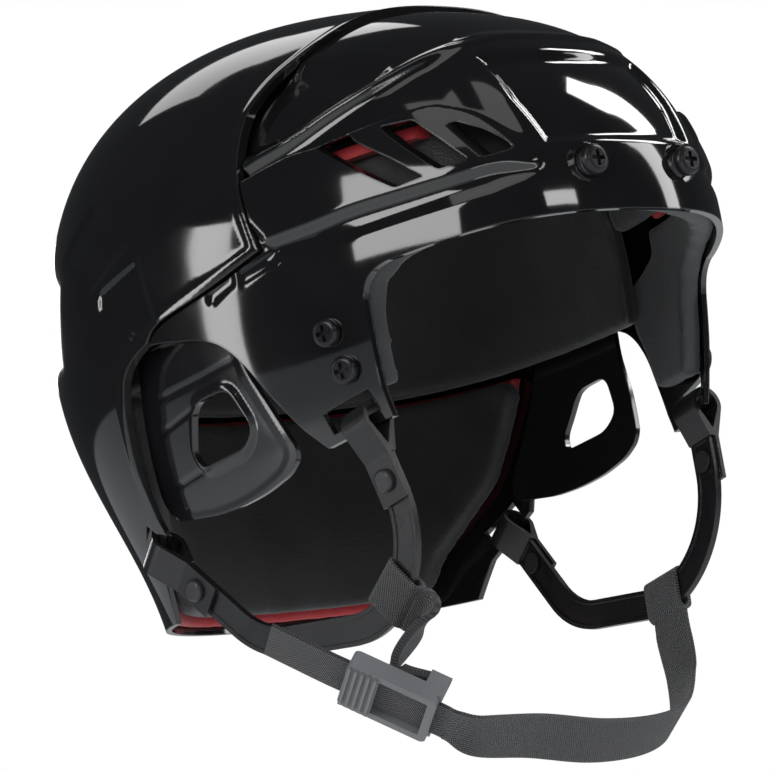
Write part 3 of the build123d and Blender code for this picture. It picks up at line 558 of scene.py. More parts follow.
class Nodes:
    """Small helper that builds one node tree."""

    def __init__(self, tree: bpy.types.NodeTree) -> None:
        """Keep the tree."""
        self.tree = tree

    def add(self, kind: str, **values: object) -> bpy.types.Node:
        """Add a node.

        Args:
            kind: Node type.
            values: Properties of the node, or default values of its named inputs.

        Returns:
            The new node.
        """
        node = self.tree.nodes.new(kind)
        for key, value in values.items():
            if hasattr(node, key):
                setattr(node, key, value)
            else:
                node.inputs[key.replace("_", " ").title()].default_value = value
        return node

    def link(self, a: bpy.types.NodeSocket, b: bpy.types.NodeSocket) -> None:
        """Link two sockets."""
        self.tree.links.new(a, b)

    def map_range(self, value: bpy.types.NodeSocket, target: tuple[float, float],
                  source: tuple[float, float] = (0.0, 1.0)) -> bpy.types.NodeSocket:
        """Carry a value from one range to another.

        Args:
            value: Socket of the value.
            target: Range it is carried to.
            source: Range it comes from.

        Returns:
            Socket of the new value.
        """
        node = self.add("ShaderNodeMapRange", from_min=source[0], from_max=source[1],
                        to_min=target[0], to_max=target[1])
        self.link(value, node.inputs["Value"])
        return node.outputs[0]

    def wave(self, value: bpy.types.NodeSocket, scale: float) -> bpy.types.NodeSocket:
        """Sine of a scaled value.

        Args:
            value: Socket of the value.
            scale: Number it is multiplied by.

        Returns:
            Socket of the sine.
        """
        times = self.add("ShaderNodeMath", operation="MULTIPLY")
        times.inputs[1].default_value = scale
        self.link(value, times.inputs[0])
        sine = self.add("ShaderNodeMath", operation="SINE")
        self.link(times.outputs[0], sine.inputs[0])
        return sine.outputs[0]

    def product(self, a: bpy.types.NodeSocket, b: bpy.types.NodeSocket) -> bpy.types.NodeSocket:
        """Socket with the product of two values."""
        node = self.add("ShaderNodeMath", operation="MULTIPLY")
        self.link(a, node.inputs[0])
        self.link(b, node.inputs[1])
        return node.outputs[0]

    def base_color(self, shader: bpy.types.Node, factor: bpy.types.NodeSocket, low: Triple,
                   high: Triple) -> None:
        """Give a shader a base colour between two.

        Args:
            shader: The shader.
            factor: Socket of the share of the second colour.
            low: First colour.
            high: Second colour.
        """
        mix = self.add("ShaderNodeMix", data_type="RGBA")
        for socket in mix.inputs:
            if socket.type == "RGBA":
                socket.default_value = (*(low if socket.name == "A" else high), 1)
        self.link(factor, mix.inputs["Factor"])
        self.link([o for o in mix.outputs if o.type == "RGBA"][0], shader.inputs["Base Color"])

    def bump(self, shader: bpy.types.Node, height: bpy.types.NodeSocket,
             strength: float) -> bpy.types.Node:
        """Give a shader a bumped normal.

        Args:
            shader: The shader.
            height: Socket of the height.
            strength: Strength of the bump.

        Returns:
            The bump node.
        """
        node = self.add("ShaderNodeBump", strength=strength, distance=BUMP_DEPTH)
        self.link(height, node.inputs["Height"])
        self.link(node.outputs[0], shader.inputs["Normal"])
        return node


def start_material(name: str) -> tuple[bpy.types.Material, Nodes, bpy.types.Node]:
    """New material with one shader linked to its output.

    Args:
        name: Name of the material.

    Returns:
        The material, its node helper and its shader.
    """
    mat = bpy.data.materials.new(name)
    mat.use_nodes = True
    mat.node_tree.nodes.clear()
    n = Nodes(mat.node_tree)
    out, shader = n.add("ShaderNodeOutputMaterial"), n.add("ShaderNodeBsdfPrincipled")
    n.link(shader.outputs[0], out.inputs["Surface"])
    return mat, n, shader


def shared_group(name: str, inputs: dict[str, float], outputs: Sequence[str]) -> tuple[
        bpy.types.NodeTree, Nodes, bpy.types.Node, bpy.types.Node]:
    """Start a shader node group.

    Args:
        name: Name of the group.
        inputs: Input names with their default values.
        outputs: Output names.

    Returns:
        The tree, its node helper, its input node and its output node.
    """
    tree = bpy.data.node_groups.new(name, "ShaderNodeTree")
    for key, value in inputs.items():
        tree.interface.new_socket(key, in_out="INPUT", socket_type="NodeSocketFloat").default_value = value
    for key in outputs:
        tree.interface.new_socket(key, in_out="OUTPUT", socket_type="NodeSocketFloat")
    n = Nodes(tree)
    return tree, n, n.add("NodeGroupInput"), n.add("NodeGroupOutput")


def grain_group() -> bpy.types.NodeTree:
    """Fine moulded grain and broad patches, read in object coordinates."""
    tree, n, gin, gout = shared_group("grain", {"Scale": 600.0, "Spread": 40.0}, ["Fine", "Broad"])
    where = n.add("ShaderNodeTexCoord")
    for detail, scale, out in ((3.0, "Scale", "Fine"), (4.0, "Spread", "Broad")):
        noise = n.add("ShaderNodeTexNoise", detail=detail)
        n.link(where.outputs["Object"], noise.inputs["Vector"])
        n.link(gin.outputs[scale], noise.inputs["Scale"])
        n.link(noise.outputs["Fac"], gout.inputs[out])
    return tree


def pores_group() -> bpy.types.NodeTree:
    """Height of closed-cell foam: small cells under a fine skin."""
    cell_share = 0.6
    tree, n, gin, gout = shared_group("pores", {"Scale": 900.0}, ["Height"])
    where = n.add("ShaderNodeTexCoord")
    cell = n.add("ShaderNodeTexVoronoi", feature="F1")
    skin = n.add("ShaderNodeTexNoise", detail=4.0)
    for node in (cell, skin):
        n.link(where.outputs["Object"], node.inputs["Vector"])
        n.link(gin.outputs["Scale"], node.inputs["Scale"])
    mix = n.add("ShaderNodeMath", operation="MULTIPLY_ADD")
    mix.inputs[1].default_value = cell_share
    n.link(cell.outputs["Distance"], mix.inputs[0])
    n.link(skin.outputs["Fac"], mix.inputs[2])
    n.link(mix.outputs[0], gout.inputs["Height"])
    return tree


def weave_group() -> bpy.types.NodeTree:
    """Webbing weave from the piece's own lengthwise and crosswise coordinates in metres."""
    along_scale, across_scale, edge_from = 5200.0, 4200.0, 0.0088
    tree, n, gin, gout = shared_group("weave", {"Along": 0.0, "Across": 0.0}, ["Height", "Edge"])
    waves = [n.wave(gin.outputs["Along"], along_scale), n.wave(gin.outputs["Across"], across_scale)]
    n.link(n.product(*waves), gout.inputs["Height"])
    size = n.add("ShaderNodeMath", operation="ABSOLUTE")
    n.link(gin.outputs["Across"], size.inputs[0])
    edge = n.add("ShaderNodeMath", operation="GREATER_THAN")
    edge.inputs[1].default_value = edge_from
    n.link(size.outputs[0], edge.inputs[0])
    n.link(edge.outputs[0], gout.inputs["Edge"])
    return tree


@dataclass(frozen=True)
class Finish:
    """One surface finish of a moulded, painted or foamed piece."""

    name: str
    color: Triple
    roughness: float
    bump: float
    grain_scale: float = 900.0
    metallic: float = 0.0
    coat: float = 0.0
    sheen: float = 0.0
    rounding: float = 0.0
    foam: bool = False
    variation: float = 0.15
    lift: float = 0.002
    uneven: float = 0.25
    patches: tuple[float, float] = (0.3, 0.7)
    coat_roughness: float = 0.04
    least_roughness: float = 0.02

    def build(self, groups: dict[str, bpy.types.NodeTree]) -> bpy.types.Material:
        """Make the material.

        Args:
            groups: Shared node groups by name.

        Returns:
            The material.
        """
        mat, n, shader = start_material(self.name)
        shader.inputs["Metallic"].default_value = self.metallic
        shader.inputs["Coat Weight"].default_value = self.coat
        shader.inputs["Coat Roughness"].default_value = self.coat_roughness
        shader.inputs["Sheen Weight"].default_value = self.sheen
        grain = n.add("ShaderNodeGroup", node_tree=groups["grain"])
        grain.inputs["Scale"].default_value = self.grain_scale
        broad, height = grain.outputs["Broad"], grain.outputs["Fine"]
        if self.foam:
            pores = n.add("ShaderNodeGroup", node_tree=groups["pores"])
            pores.inputs["Scale"].default_value = self.grain_scale
            height = pores.outputs["Height"]
        low = tuple(c * (1 - self.variation) for c in self.color)
        high = tuple(min(1.0, c * (1 + self.variation) + self.lift) for c in self.color)
        n.base_color(shader, broad, low, high)
        ends = (max(self.least_roughness, self.roughness * (1 - self.uneven)),
                min(1.0, self.roughness * (1 + self.uneven)))
        n.link(n.map_range(broad, ends, self.patches), shader.inputs["Roughness"])
        bump = n.bump(shader, height, self.bump)
        if self.rounding:
            bevel = n.add("ShaderNodeBevel", samples=4, radius=self.rounding)
            n.link(bevel.outputs[0], bump.inputs["Normal"])
        return mat


@dataclass(frozen=True)
class Weave:
    """Finish of the woven straps: a dark weave with salt-and-pepper edges."""

    name: str = "webbing"
    dark: Triple = (0.007, 0.007, 0.008)
    pale: Triple = (0.040, 0.040, 0.043)
    roughness: float = 0.72
    sheen: float = 0.25
    bump: float = 0.8
    threads: tuple[float, float] = (-0.6, 0.9)
    edge_share: tuple[float, float] = (0.25, 1.0)

    def build(self, groups: dict[str, bpy.types.NodeTree]) -> bpy.types.Material:
        """Make the material.

        Args:
            groups: Shared node groups by name.

        Returns:
            The material.
        """
        mat, n, shader = start_material(self.name)
        shader.inputs["Roughness"].default_value = self.roughness
        shader.inputs["Sheen Weight"].default_value = self.sheen
        weave = n.add("ShaderNodeGroup", node_tree=groups["weave"])
        for key in ("along", "across"):
            stored = n.add("ShaderNodeAttribute", attribute_name=key)
            n.link(stored.outputs["Fac"], weave.inputs[key.title()])
        height = weave.outputs["Height"]
        shown = n.product(n.map_range(height, (0.0, 1.0), self.threads),
                          n.map_range(weave.outputs["Edge"], self.edge_share))
        n.base_color(shader, shown, self.dark, self.pale)
        n.bump(shader, height, self.bump)
        return mat


FINISHES: dict[Slot, Finish | Weave] = {
    Slot.SHELL: Finish("shell_gloss", (0.0050, 0.0050, 0.0055), 0.07, 0.010, 320.0, coat=0.5,
                       rounding=0.0009),
    Slot.GUARD: Finish("guard_gloss", (0.006, 0.006, 0.007), 0.12, 0.03, 500.0, coat=0.4,
                       rounding=0.0007),
    Slot.LOOP: Finish("loop_satin", (0.008, 0.008, 0.009), 0.30, 0.12, 1400.0, rounding=0.0004),
    Slot.RED: Finish("eva_red", (0.33, 0.012, 0.016), 0.62, 0.5, 1100.0, foam=True, sheen=0.1),
    Slot.BLACK: Finish("foam_black", (0.014, 0.014, 0.015), 0.66, 0.6, 1000.0, foam=True, sheen=0.15),
    Slot.BROW: Finish("foam_grey", (0.024, 0.025, 0.027), 0.70, 0.6, 1000.0, foam=True, sheen=0.15),
    Slot.BUCKLE: Finish("buckle_grey", (0.13, 0.135, 0.14), 0.38, 0.15, 1500.0, rounding=0.0004),
    Slot.SCREW: Finish("screw_black", (0.02, 0.02, 0.022), 0.30, 0.1, 1500.0, metallic=0.6,
                       rounding=0.0003),
    Slot.NUT: Finish("nut_steel", (0.42, 0.42, 0.43), 0.34, 0.1, 1500.0, metallic=1.0, rounding=0.0002),
    Slot.SNAP: Finish("snap_black", (0.02, 0.02, 0.022), 0.35, 0.1, 1500.0, rounding=0.0003),
    Slot.WEBBING: Weave(),
}


def make_finishes() -> dict[Slot, bpy.types.Material]:
    """All materials by record slot."""
    groups = {"grain": grain_group(), "pores": pores_group(), "weave": weave_group()}
    return {slot: finish.build(groups) for slot, finish in FINISHES.items()}


# Shells
@dataclass(frozen=True)
class ShellSizes:
    """Depths and walls of the two shells, and the widths of their slopes, in metres."""

    wall: float = 0.0030
    crown: float = 0.0018
    crown_step: float = 0.0050
    recess: float = 0.0046
    recess_step: float = 0.0040
    recess_back: float = -0.170
    scoop: float = 0.0062
    scoop_step: float = 0.0080
    lower: float = 0.0006
    band: float = -0.0006
    band_step: float = 0.0028
    channel: float = 0.0024
    channel_step: float = 0.0060
    block_step: float = 0.016
    pocket: float = 0.0034
    pocket_step: float = 0.0050
    crest: float = 0.0009
    crest_half: float = 0.0030
    crest_step: float = 0.0040
    crest_end: float = -0.030
    crest_fade: float = 0.02
    above_all: float = 0.2
    mark: float = 0.0006
    mark_half: float = 0.0024
    mark_step: float = 0.0034
    tongue: float = 0.0066
    panel: float = -0.0009
    panel_step: float = 0.0034
    crease: float = 0.0010
    crease_step: float = 0.0030
    lip: float = 0.0006
    lip_half: float = 0.0034
    lip_step: float = 0.0032
    lip_foot: float = 0.056
    lip_fade: float = 0.016
    gap: float = 0.0010
    vent_corner: float = 0.0016


@dataclass(frozen=True)
class BrowScrews:
    """Bosses and holes of the two brow screws, in metres."""

    level: float = 0.0234
    boss_across: float = 0.023532
    boss_front: float = -0.1416
    boss_radius: float = 0.0075
    boss_length: float = 0.006
    hole_across: float = 0.0235
    hole_front: float = -0.2
    hole_radius: float = 0.0027
    hole_length: float = 0.1

    def bosses(self) -> list[bpy.types.Object]:
        """Round bosses that are added to the shell, one for each side."""
        return [rod(Vector((s * self.boss_across, self.boss_front, self.level)), Vector((0, 1, 0)),
                    self.boss_radius, self.boss_length) for s in BOTH_SIDES]

    def holes(self) -> list[bpy.types.Object]:
        """Round cutters through the bosses, one for each side."""
        return [rod(Vector((s * self.hole_across, self.hole_front, self.level)), Vector((0, 1, 0)),
                    self.hole_radius, self.hole_length) for s in BOTH_SIDES]


@dataclass(frozen=True)
class GuardSizes:
    """Depths of an ear guard and the relief of its lip, edge and creases, in metres."""

    depth: float = 0.0099
    inside: float = 0.0119
    corner: float = 0.006
    lip: float = 0.0009
    lip_half: float = 0.0030
    lip_step: float = 0.0018
    edge_share: float = 0.5
    edge_half: float = 0.0020
    edge_step: float = 0.0014
    crease: float = 0.0005
    crease_half: float = 0.0008
    crease_step: float = 0.0016
    near: float = 0.01
    far: float = 0.3


@dataclass(frozen=True)
class LoopSlot:
    """Slot above a bar that the eye of an ear loop hooks through, given for the left side, in metres."""

    place: Triple
    way: Triple
    up: Triple
    ahead: float
    behind: float
    height: float
    bar_half: float = 0.002
    reach: float = 0.02

    def tools(self) -> list[bpy.types.Object]:
        """One closed cutter for each side."""
        faces = [(0, 1, 3, 2), (4, 6, 7, 5), (0, 4, 5, 1), (2, 3, 7, 6), (0, 2, 6, 4), (1, 5, 7, 3)]
        made = []
        for s in BOTH_SIDES:
            place, way, up = (Vector((s * v[0], v[1], v[2])) for v in (self.place, self.way, self.up))
            out = way.cross(up).normalized()
            start = place + up * self.bar_half
            box = [start + way * a + up * b + out * c for c in (-self.reach, self.reach)
                   for b in (0, self.height) for a in (-self.ahead, self.behind)]
            made.append(new_object("tool", box, faces))
        return made


@dataclass(frozen=True)
class CrownVent:
    """Round-ended vent through the crown, from near to far: shares of the nose length and half width."""

    near: tuple[float, float]
    far: tuple[float, float]
    radius: float = 0.0055
    low: float = 0.02
    high: float = 0.2
    arc: int = 12

    def tools(self) -> list[bpy.types.Object]:
        """One closed cutter for each side."""
        made = []
        for s in BOTH_SIDES:
            a, b = ((s * across * DOME.s.half_width, along * DOME.s.nose)
                    for along, across in (self.near, self.far))
            base = math.atan2(b[1] - a[1], b[0] - a[0])
            ring = []
            for end, turn in ((b, base - math.pi / 2), (a, base + math.pi / 2)):
                for i in range(self.arc + 1):
                    t = turn + math.pi * i / self.arc
                    ring.append((end[0] + self.radius * math.cos(t), end[1] + self.radius * math.sin(t)))
            rows = [(x, y, z) for z in (self.low, self.high) for x, y in ring]
            made.append(new_object("tool", rows, tube_faces(len(ring))))
        return made


FRONT_SLOT = LoopSlot((0.084637, -0.063936, -0.057358), (0.04972, 0.98010, -0.19218),
                      (0.16585, 0.18164, 0.96928), 0.0085, 0.0136, 0.0088)
REAR_SLOT = LoopSlot((0.091278, 0.066960, -0.083024), (-0.04863, 0.72305, -0.68908),
                     (0.16618, 0.68614, 0.70824), 0.0087, 0.0087, 0.0083)
CROWN_VENTS = (CrownVent((0.080, 0.300), (0.330, 0.300)), CrownVent((0.420, 0.260), (0.620, 0.240)))


@dataclass
class Shells:
    """Builds the two glossy shells, the tongue and the ear guards."""

    finishes: dict[Slot, bpy.types.Material]
    sizes: ShellSizes = field(default_factory=ShellSizes)
    screws: BrowScrews = field(default_factory=BrowScrews)
    guard: GuardSizes = field(default_factory=GuardSizes)
    front_skin: Grid = Grid(-90, 122, 0.45, -0.62, 0.0009)
    front_inside: Grid = Grid(-90, 122, 2.0, -0.8, 0.004)
    tongue_skin: Grid = Grid(-90, 140, 1.6, -0.4, 0.004)
    tongue_inside: Grid = Grid(-90, 140, 2.0, -0.6, 0.005)
    rear_skin: Grid = Grid(90, 150, 0.65, -0.9, 0.0013)
    rear_inside: Grid = Grid(90, 150, 2.0, -0.9, 0.004, foot=-1.08)
    guard_skin: Grid = Grid(90, 140, 0.6, -0.75, 0.0010)
    guard_inside: Grid = Grid(90, 140, 2.0, -0.9, 0.004)

    def front_depth(self, p: np.ndarray) -> np.ndarray:
        """Depth of the front shell's outer face.

        Args:
            p: Points of the dome at depth 0.

        Returns:
            Depth at each point.
        """
        s = self.sizes
        x, y, z = p[..., 0], p[..., 1], p[..., 2]
        band_top, ridge = smooth_line(Lines.BAND_TOP), smooth_line(Lines.RIDGE)
        band_foot = smooth_line(Lines.BAND_FOOT)
        recess = band_top + [(s.recess_back, band_top[-1][1]), (s.recess_back, ridge[-1][1])] + ridge[::-1]
        crown = ridge + [(s.recess_back, s.above_all), (0.0, s.above_all)]
        scoop = smooth_line(Lines.SCOOP + Lines.SCOOP[:1])
        channel = band_foot[1:] + smooth_line(Lines.CHANNEL)
        blocked = np.where(y < 0, step(inside_distance(BLOCK, x, z), s.block_step), 0)
        d = np.full(x.shape, s.lower)
        d = settle(d, s.recess, inside_distance(recess, y, z), s.recess_step, 1 - blocked)
        d = settle(d, s.crown, inside_distance(crown, y, z), s.crown_step)
        near_crest = step(s.crest_half - line_distance(ridge, y, z), s.crest_step)
        d -= s.crest * (near_crest * step(s.crest_end - y, s.crest_fade))
        d = settle(d, s.scoop, inside_distance(scoop, y, z), s.scoop_step)
        d = settle(d, s.band, inside_distance(band_top + band_foot, y, z), s.band_step)
        d = settle(d, s.channel, inside_distance(channel, y, z), s.channel_step)
        for mark in Lines.MARKS:
            d += s.mark * step(s.mark_half - line_distance(mark, y, z), s.mark_step)
        pocket = np.where(y < 0, step(inside_distance(POCKET, x, z), s.pocket_step), 0)
        return d + (s.pocket - d) * pocket

    def front_inner_depth(self, p: np.ndarray) -> np.ndarray:
        """Depth of the front shell's inner face at points of the dome."""
        return np.maximum(self.front_depth(p), self.sizes.lower) + self.sizes.wall

    def front_region(self) -> Outline:
        """Outline of the front shell's exposed part."""
        split = [(y - self.sizes.gap, z) for y, z in smooth_line(Lines.SPLIT)]
        foot = [(y, z - self.sizes.gap) for y, z in smooth_line(Lines.FOOT)]
        ear = smooth_line(Lines.EAR_TOP + Lines.EAR_FRONT[1:])
        rim = smooth_line(Lines.RIM)
        return split + foot + ear + Lines.FRONT_BAR + rim + [(rim[-1][0], split[0][1])]

    def front_holes(self) -> list[bpy.types.Object]:
        """Tools for the vents, the screw holes and the loop slots of the front shell."""
        vents = [prism(rounded(v, self.sizes.vent_corner)) for v in Lines.VENTS]
        return vents + self.screws.holes() + FRONT_SLOT.tools()

    def build_front(self) -> None:
        """Front shell: exposed skin and hidden tongue."""
        s, finish = self.sizes, self.finishes[Slot.SHELL]
        skin = block("front_shell_skin", self.front_depth, self.front_skin)
        inner = block("tool", self.front_inner_depth, self.front_inside)
        cut(skin, self.screws.bosses(), Cut.ADD)
        cut(skin, [inner])
        cut(skin, [prism(self.front_region())], Cut.KEEP)
        cut(skin, self.front_holes())
        shade(skin)
        piece(skin, Body.FRONT, finish, ["front_shell"])
        tongue = block("front_shell_tongue", s.tongue, self.tongue_skin)
        cut(tongue, [block("tool", s.tongue + s.wall, self.tongue_inside)])
        cut(tongue, [prism(Lines.TONGUE)], Cut.KEEP)
        shade(tongue)
        piece(tongue, Body.FRONT, finish)

    def rear_depth(self, p: np.ndarray) -> np.ndarray:
        """Depth of the rear shell's outer face.

        Args:
            p: Points of the dome at depth 0.

        Returns:
            Depth at each point.
        """
        s = self.sizes
        y, z = p[..., 1], p[..., 2]
        d = np.zeros(y.shape)
        for outline in (Lines.ARROW, Lines.FACET):
            d = settle(d, s.crease, inside_distance(outline, y, z), s.crease_step)
        d = settle(d, s.panel, inside_distance(Lines.PANEL, y, z), s.panel_step)
        edge = smooth_line(Lines.SPLIT) + smooth_line(Lines.FOOT)[1:] + smooth_line(Lines.EAR_BACK)[1:]
        lip = step(s.lip_half - line_distance(edge, y, z), s.lip_step)
        return d - s.lip * lip * step(z + s.lip_foot, s.lip_fade)

    def rear_region(self) -> Outline:
        """Outline of the rear shell."""
        ear = smooth_line(Lines.EAR_BACK)[1:]
        return smooth_line(Lines.SPLIT) + smooth_line(Lines.FOOT)[1:] + ear + Lines.REAR_BAR + Lines.TAIL

    def build_rear(self) -> None:
        """Rear shell with its loop slots and crown vents."""
        shell = block("rear_shell_skin", self.rear_depth, self.rear_skin)
        cut(shell, [block("tool", self.sizes.wall, self.rear_inside)])
        cut(shell, [prism(self.rear_region())], Cut.KEEP)
        cut(shell, REAR_SLOT.tools() + [tool for vent in CROWN_VENTS for tool in vent.tools()])
        shade(shell)
        piece(shell, Body.REAR, self.finishes[Slot.SHELL], ["rear_shell"])

    def guard_depth(self, p: np.ndarray) -> np.ndarray:
        """Depth of an ear guard's outer face.

        Args:
            p: Points of the dome at depth 0.

        Returns:
            Depth at each point.
        """
        g, y, z = self.guard, p[..., 1], p[..., 2]
        hole = inside_distance(rounded(Lines.GUARD_HOLE, g.corner), y, z)
        edge = inside_distance(rounded(Lines.GUARD, g.corner), y, z)
        lip = step(g.lip_half - np.abs(hole), g.lip_step)
        lip = lip + g.edge_share * step(g.edge_half - edge, g.edge_step)
        creases = sum(step(g.crease_half - line_distance(c, y, z), g.crease_step)
                      for c in Lines.GUARD_CREASES)
        return g.depth - g.lip * np.clip(lip, 0, 1) + g.crease * np.clip(creases, 0, 1)

    def build_guards(self) -> None:
        """Ear guards with a rounded opening and a raised lip."""
        g = self.guard
        spans = {"ear_guard_right": (-g.far, -g.near), "ear_guard_left": (g.near, g.far)}
        for node, (low, high) in spans.items():
            guard = block(f"{node}_skin", self.guard_depth, self.guard_skin)
            cut(guard, [block("tool", g.inside, self.guard_inside)])
            cut(guard, [prism(rounded(Lines.GUARD, g.corner), low, high)], Cut.KEEP)
            cut(guard, [prism(rounded(Lines.GUARD_HOLE, g.corner))])
            shade(guard)
            piece(guard, Body.FRONT, self.finishes[Slot.GUARD], [node])


# Soft pieces
@dataclass(frozen=True)
class Pad:
    """One foam piece made from the space its solid holds: grain of its mesh in metres, smoothing rounds."""

    node: str
    body: Body
    slot: Slot
    voxel: float
    smooth: int
    windows: tuple[Outline, ...] = ()
    weld: float = 0.00002
    ease: float = 0.5
    crease: float = 60.0
    fill: float = 0.85


PADS = (
    # The red liners are cut at the corner outline, and the front one also at the vent windows, as painted
    # shade where the black liner shows through.
    Pad("front_red_liner", Body.FRONT, Slot.RED, 0.0016, 10, (*Lines.VENT_HOLES_AND_SHADE, Lines.SHADE_CORNER)),
    Pad("front_inner_liner", Body.FRONT, Slot.BLACK, 0.0018, 14),
    Pad("rear_red_liner", Body.REAR, Slot.RED, 0.0020, 10, (Lines.SHADE_CORNER,)),
    Pad("rear_inner_liner", Body.REAR, Slot.BLACK, 0.0019, 14),
    Pad("nape_pad", Body.REAR, Slot.BLACK, 0.0016, 24),
    Pad("nape_backing", Body.REAR, Slot.RED, 0.0016, 12),
    Pad("brow_pad_left", Body.FRONT, Slot.BROW, 0.0013, 24),
    Pad("brow_pad_right", Body.FRONT, Slot.BROW, 0.0013, 24),
)


def build_pad(pad: Pad, material: bpy.types.Material) -> None:
    """Foam piece: the solid's space remeshed, softened and cut at its windows, which stand partly for
    painted shade.

    Args:
        pad: The piece and the grain of its mesh.
        material: Its material.
    """
    source = bpy.data.objects[pad.node]
    obj = bpy.data.objects.new(f"{pad.node}_foam", source.data.copy())
    obj.matrix_world = source.matrix_world.copy()
    bpy.context.scene.collection.objects.link(obj)
    bpy.context.view_layer.objects.active = obj
    for other in bpy.context.selected_objects:
        other.select_set(False)
    obj.select_set(True)
    bpy.ops.object.transform_apply(location=True, rotation=True, scale=True)
    weld = obj.modifiers.new("weld", "WELD")
    weld.merge_threshold = pad.weld
    remesh = obj.modifiers.new("remesh", "REMESH")
    remesh.mode, remesh.voxel_size = "VOXEL", pad.voxel
    soften = obj.modifiers.new("soften", "SMOOTH")
    soften.factor, soften.iterations = pad.ease, pad.smooth
    for mod in (weld, remesh, soften):
        bpy.ops.object.modifier_apply(modifier=mod.name)
    cut(obj, [tool for window in pad.windows for tool in side_prisms(window)])
    shade(obj, pad.crease)
    piece(obj, pad.body, material, [pad.node])


# Webbing
def ribbon_mesh(name: str, stations: Sequence[tuple[Vector, Vector]], width: float, plate: float,
                share: tuple[float, float] = (0.0, 1.0), steps: int = 14) -> bpy.types.Object:
    """Flat strap with weave coordinates.

    Args:
        name: Object name.
        stations: Middle points with their width directions.
        width: Width of the strap.
        plate: Thickness of the strap.
        share: Part of the whole run that is kept, from 0 to 1.
        steps: Steps between two stations.

    Returns:
        The strap as a new object.
    """
    full, columns = 0.97, 9
    line, wide = (spline(np.vstack([2 * p[0] - p[1], p, 2 * p[-1] - p[-2]]), steps)
                  for p in (np.array([tuple(s[k]) for s in stations]) for k in (0, 1)))
    ways = np.gradient(line, axis=0)
    ways /= np.linalg.norm(ways, axis=1, keepdims=True)
    wide -= ways * (wide * ways).sum(1, keepdims=True)
    wide /= np.linalg.norm(wide, axis=1, keepdims=True)
    face = np.cross(wide, ways)
    lengths = np.concatenate([[0], np.cumsum(np.linalg.norm(np.diff(line, axis=0), axis=1))])
    kept = slice(round(share[0] * (len(line) - 1)), round(share[1] * (len(line) - 1)) + 1)
    line, wide, face, lengths = line[kept], wide[kept], face[kept], lengths[kept]
    half, thick = width / 2, plate / 2
    ring = [(u * half, thick) for u in np.linspace(-full, full, columns)] + [(half, 0.0)]
    ring += [(u * half, -thick) for u in np.linspace(full, -full, columns)] + [(-half, 0.0)]
    across, deep = (np.array(values) for values in zip(*ring))
    n, last = len(ring), (len(line) - 1) * len(ring)
    verts = np.vstack([line[i] + np.outer(across, wide[i]) + np.outer(deep, face[i])
                       for i in range(len(line))])
    faces = [(r + i, r + (i + 1) % n, r + n + (i + 1) % n, r + n + i)
             for r in range(0, last, n) for i in range(n)]
    faces += [tuple(range(n))[::-1], tuple(last + i for i in range(n))]
    return woven(new_object(name, verts, faces), np.repeat(lengths, n), np.tile(across, len(line)))


def woven(obj: bpy.types.Object, along: Iterable[float], across: Iterable[float]) -> bpy.types.Object:
    """Store a strap's lengthwise and crosswise coordinates and shade it.

    Args:
        obj: The strap.
        along: Lengthwise coordinate of each point.
        across: Crosswise coordinate of each point.

    Returns:
        The same object.
    """
    for key, values in (("along", along), ("across", across)):
        layer = obj.data.attributes.new(key, "FLOAT", "POINT")
        layer.data.foreach_set("value", np.array(values, np.float32))
    shade(obj, 60)
    return obj


@dataclass(frozen=True)
class Eye:
    """Sewn eye of webbing: place, width direction, long direction and the half sizes inside it."""

    name: str
    body: Body
    place: Vector
    turn: Vector
    lift: Vector
    high: float
    wide: float
    sides: int = 40
    columns: int = 8
    flat: float = 1e-6

    def mesh(self, plate: float, width: float) -> bpy.types.Object:
        """Flat ring with rounded ends.

        Args:
            plate: Thickness of the webbing.
            width: Width of the webbing.

        Returns:
            The ring as a new object.
        """
        sideways = self.lift.cross(self.turn).normalized()
        straight = self.high - self.wide
        verts, faces, lengths, widths = [], [], [], []
        total, before = 0.0, None
        for i in range(self.sides):
            t = 2 * math.pi * i / self.sides
            c, s = math.cos(t), math.sin(t)
            end = 1 if c > self.flat else -1 if c < -self.flat else 0
            base = self.lift * (straight * end + c * self.wide) + sideways * (s * self.wide)
            outer = base + self.lift * (c * plate) + sideways * (s * plate)
            total += (outer - before).length if before is not None else 0.0
            before = outer
            for j in range(self.columns + 1):
                u = (j / self.columns - 0.5) * width
                verts += [self.place + base + self.turn * u, self.place + outer + self.turn * u]
                lengths += [total, total]
                widths += [u, u]
        row, k = 2 * (self.columns + 1), 2 * self.columns
        for i in range(self.sides):
            a, b = i * row, ((i + 1) % self.sides) * row
            for j in range(0, k, 2):
                faces.append((a + j, a + j + 2, b + j + 2, b + j))
                faces.append((a + j + 1, b + j + 1, b + j + 3, a + j + 3))
            faces += [(a, b, b + 1, a + 1), (a + k, a + k + 1, b + k + 1, b + k)]
        return woven(new_object(self.name, verts, faces), lengths, widths)


@dataclass(frozen=True)
class StrapSizes:
    """Sizes of the webbing and its eyes, in metres."""

    width: float = 0.020
    plate: float = 0.0016
    loop_half: float = 0.006
    eye_half: float = 0.0018
    eye_sink: float = 0.0006
    leaves: tuple[float, float] = (0.0008, 0.008)
    bar_depth: float = 0.0072
    bar_half: tuple[float, float] = (0.0016, 0.0015)
    bar_along: float = -0.0146
    bar_lead: float = 0.018
    bend_shares: tuple[float, float] = (0.56, 0.42)


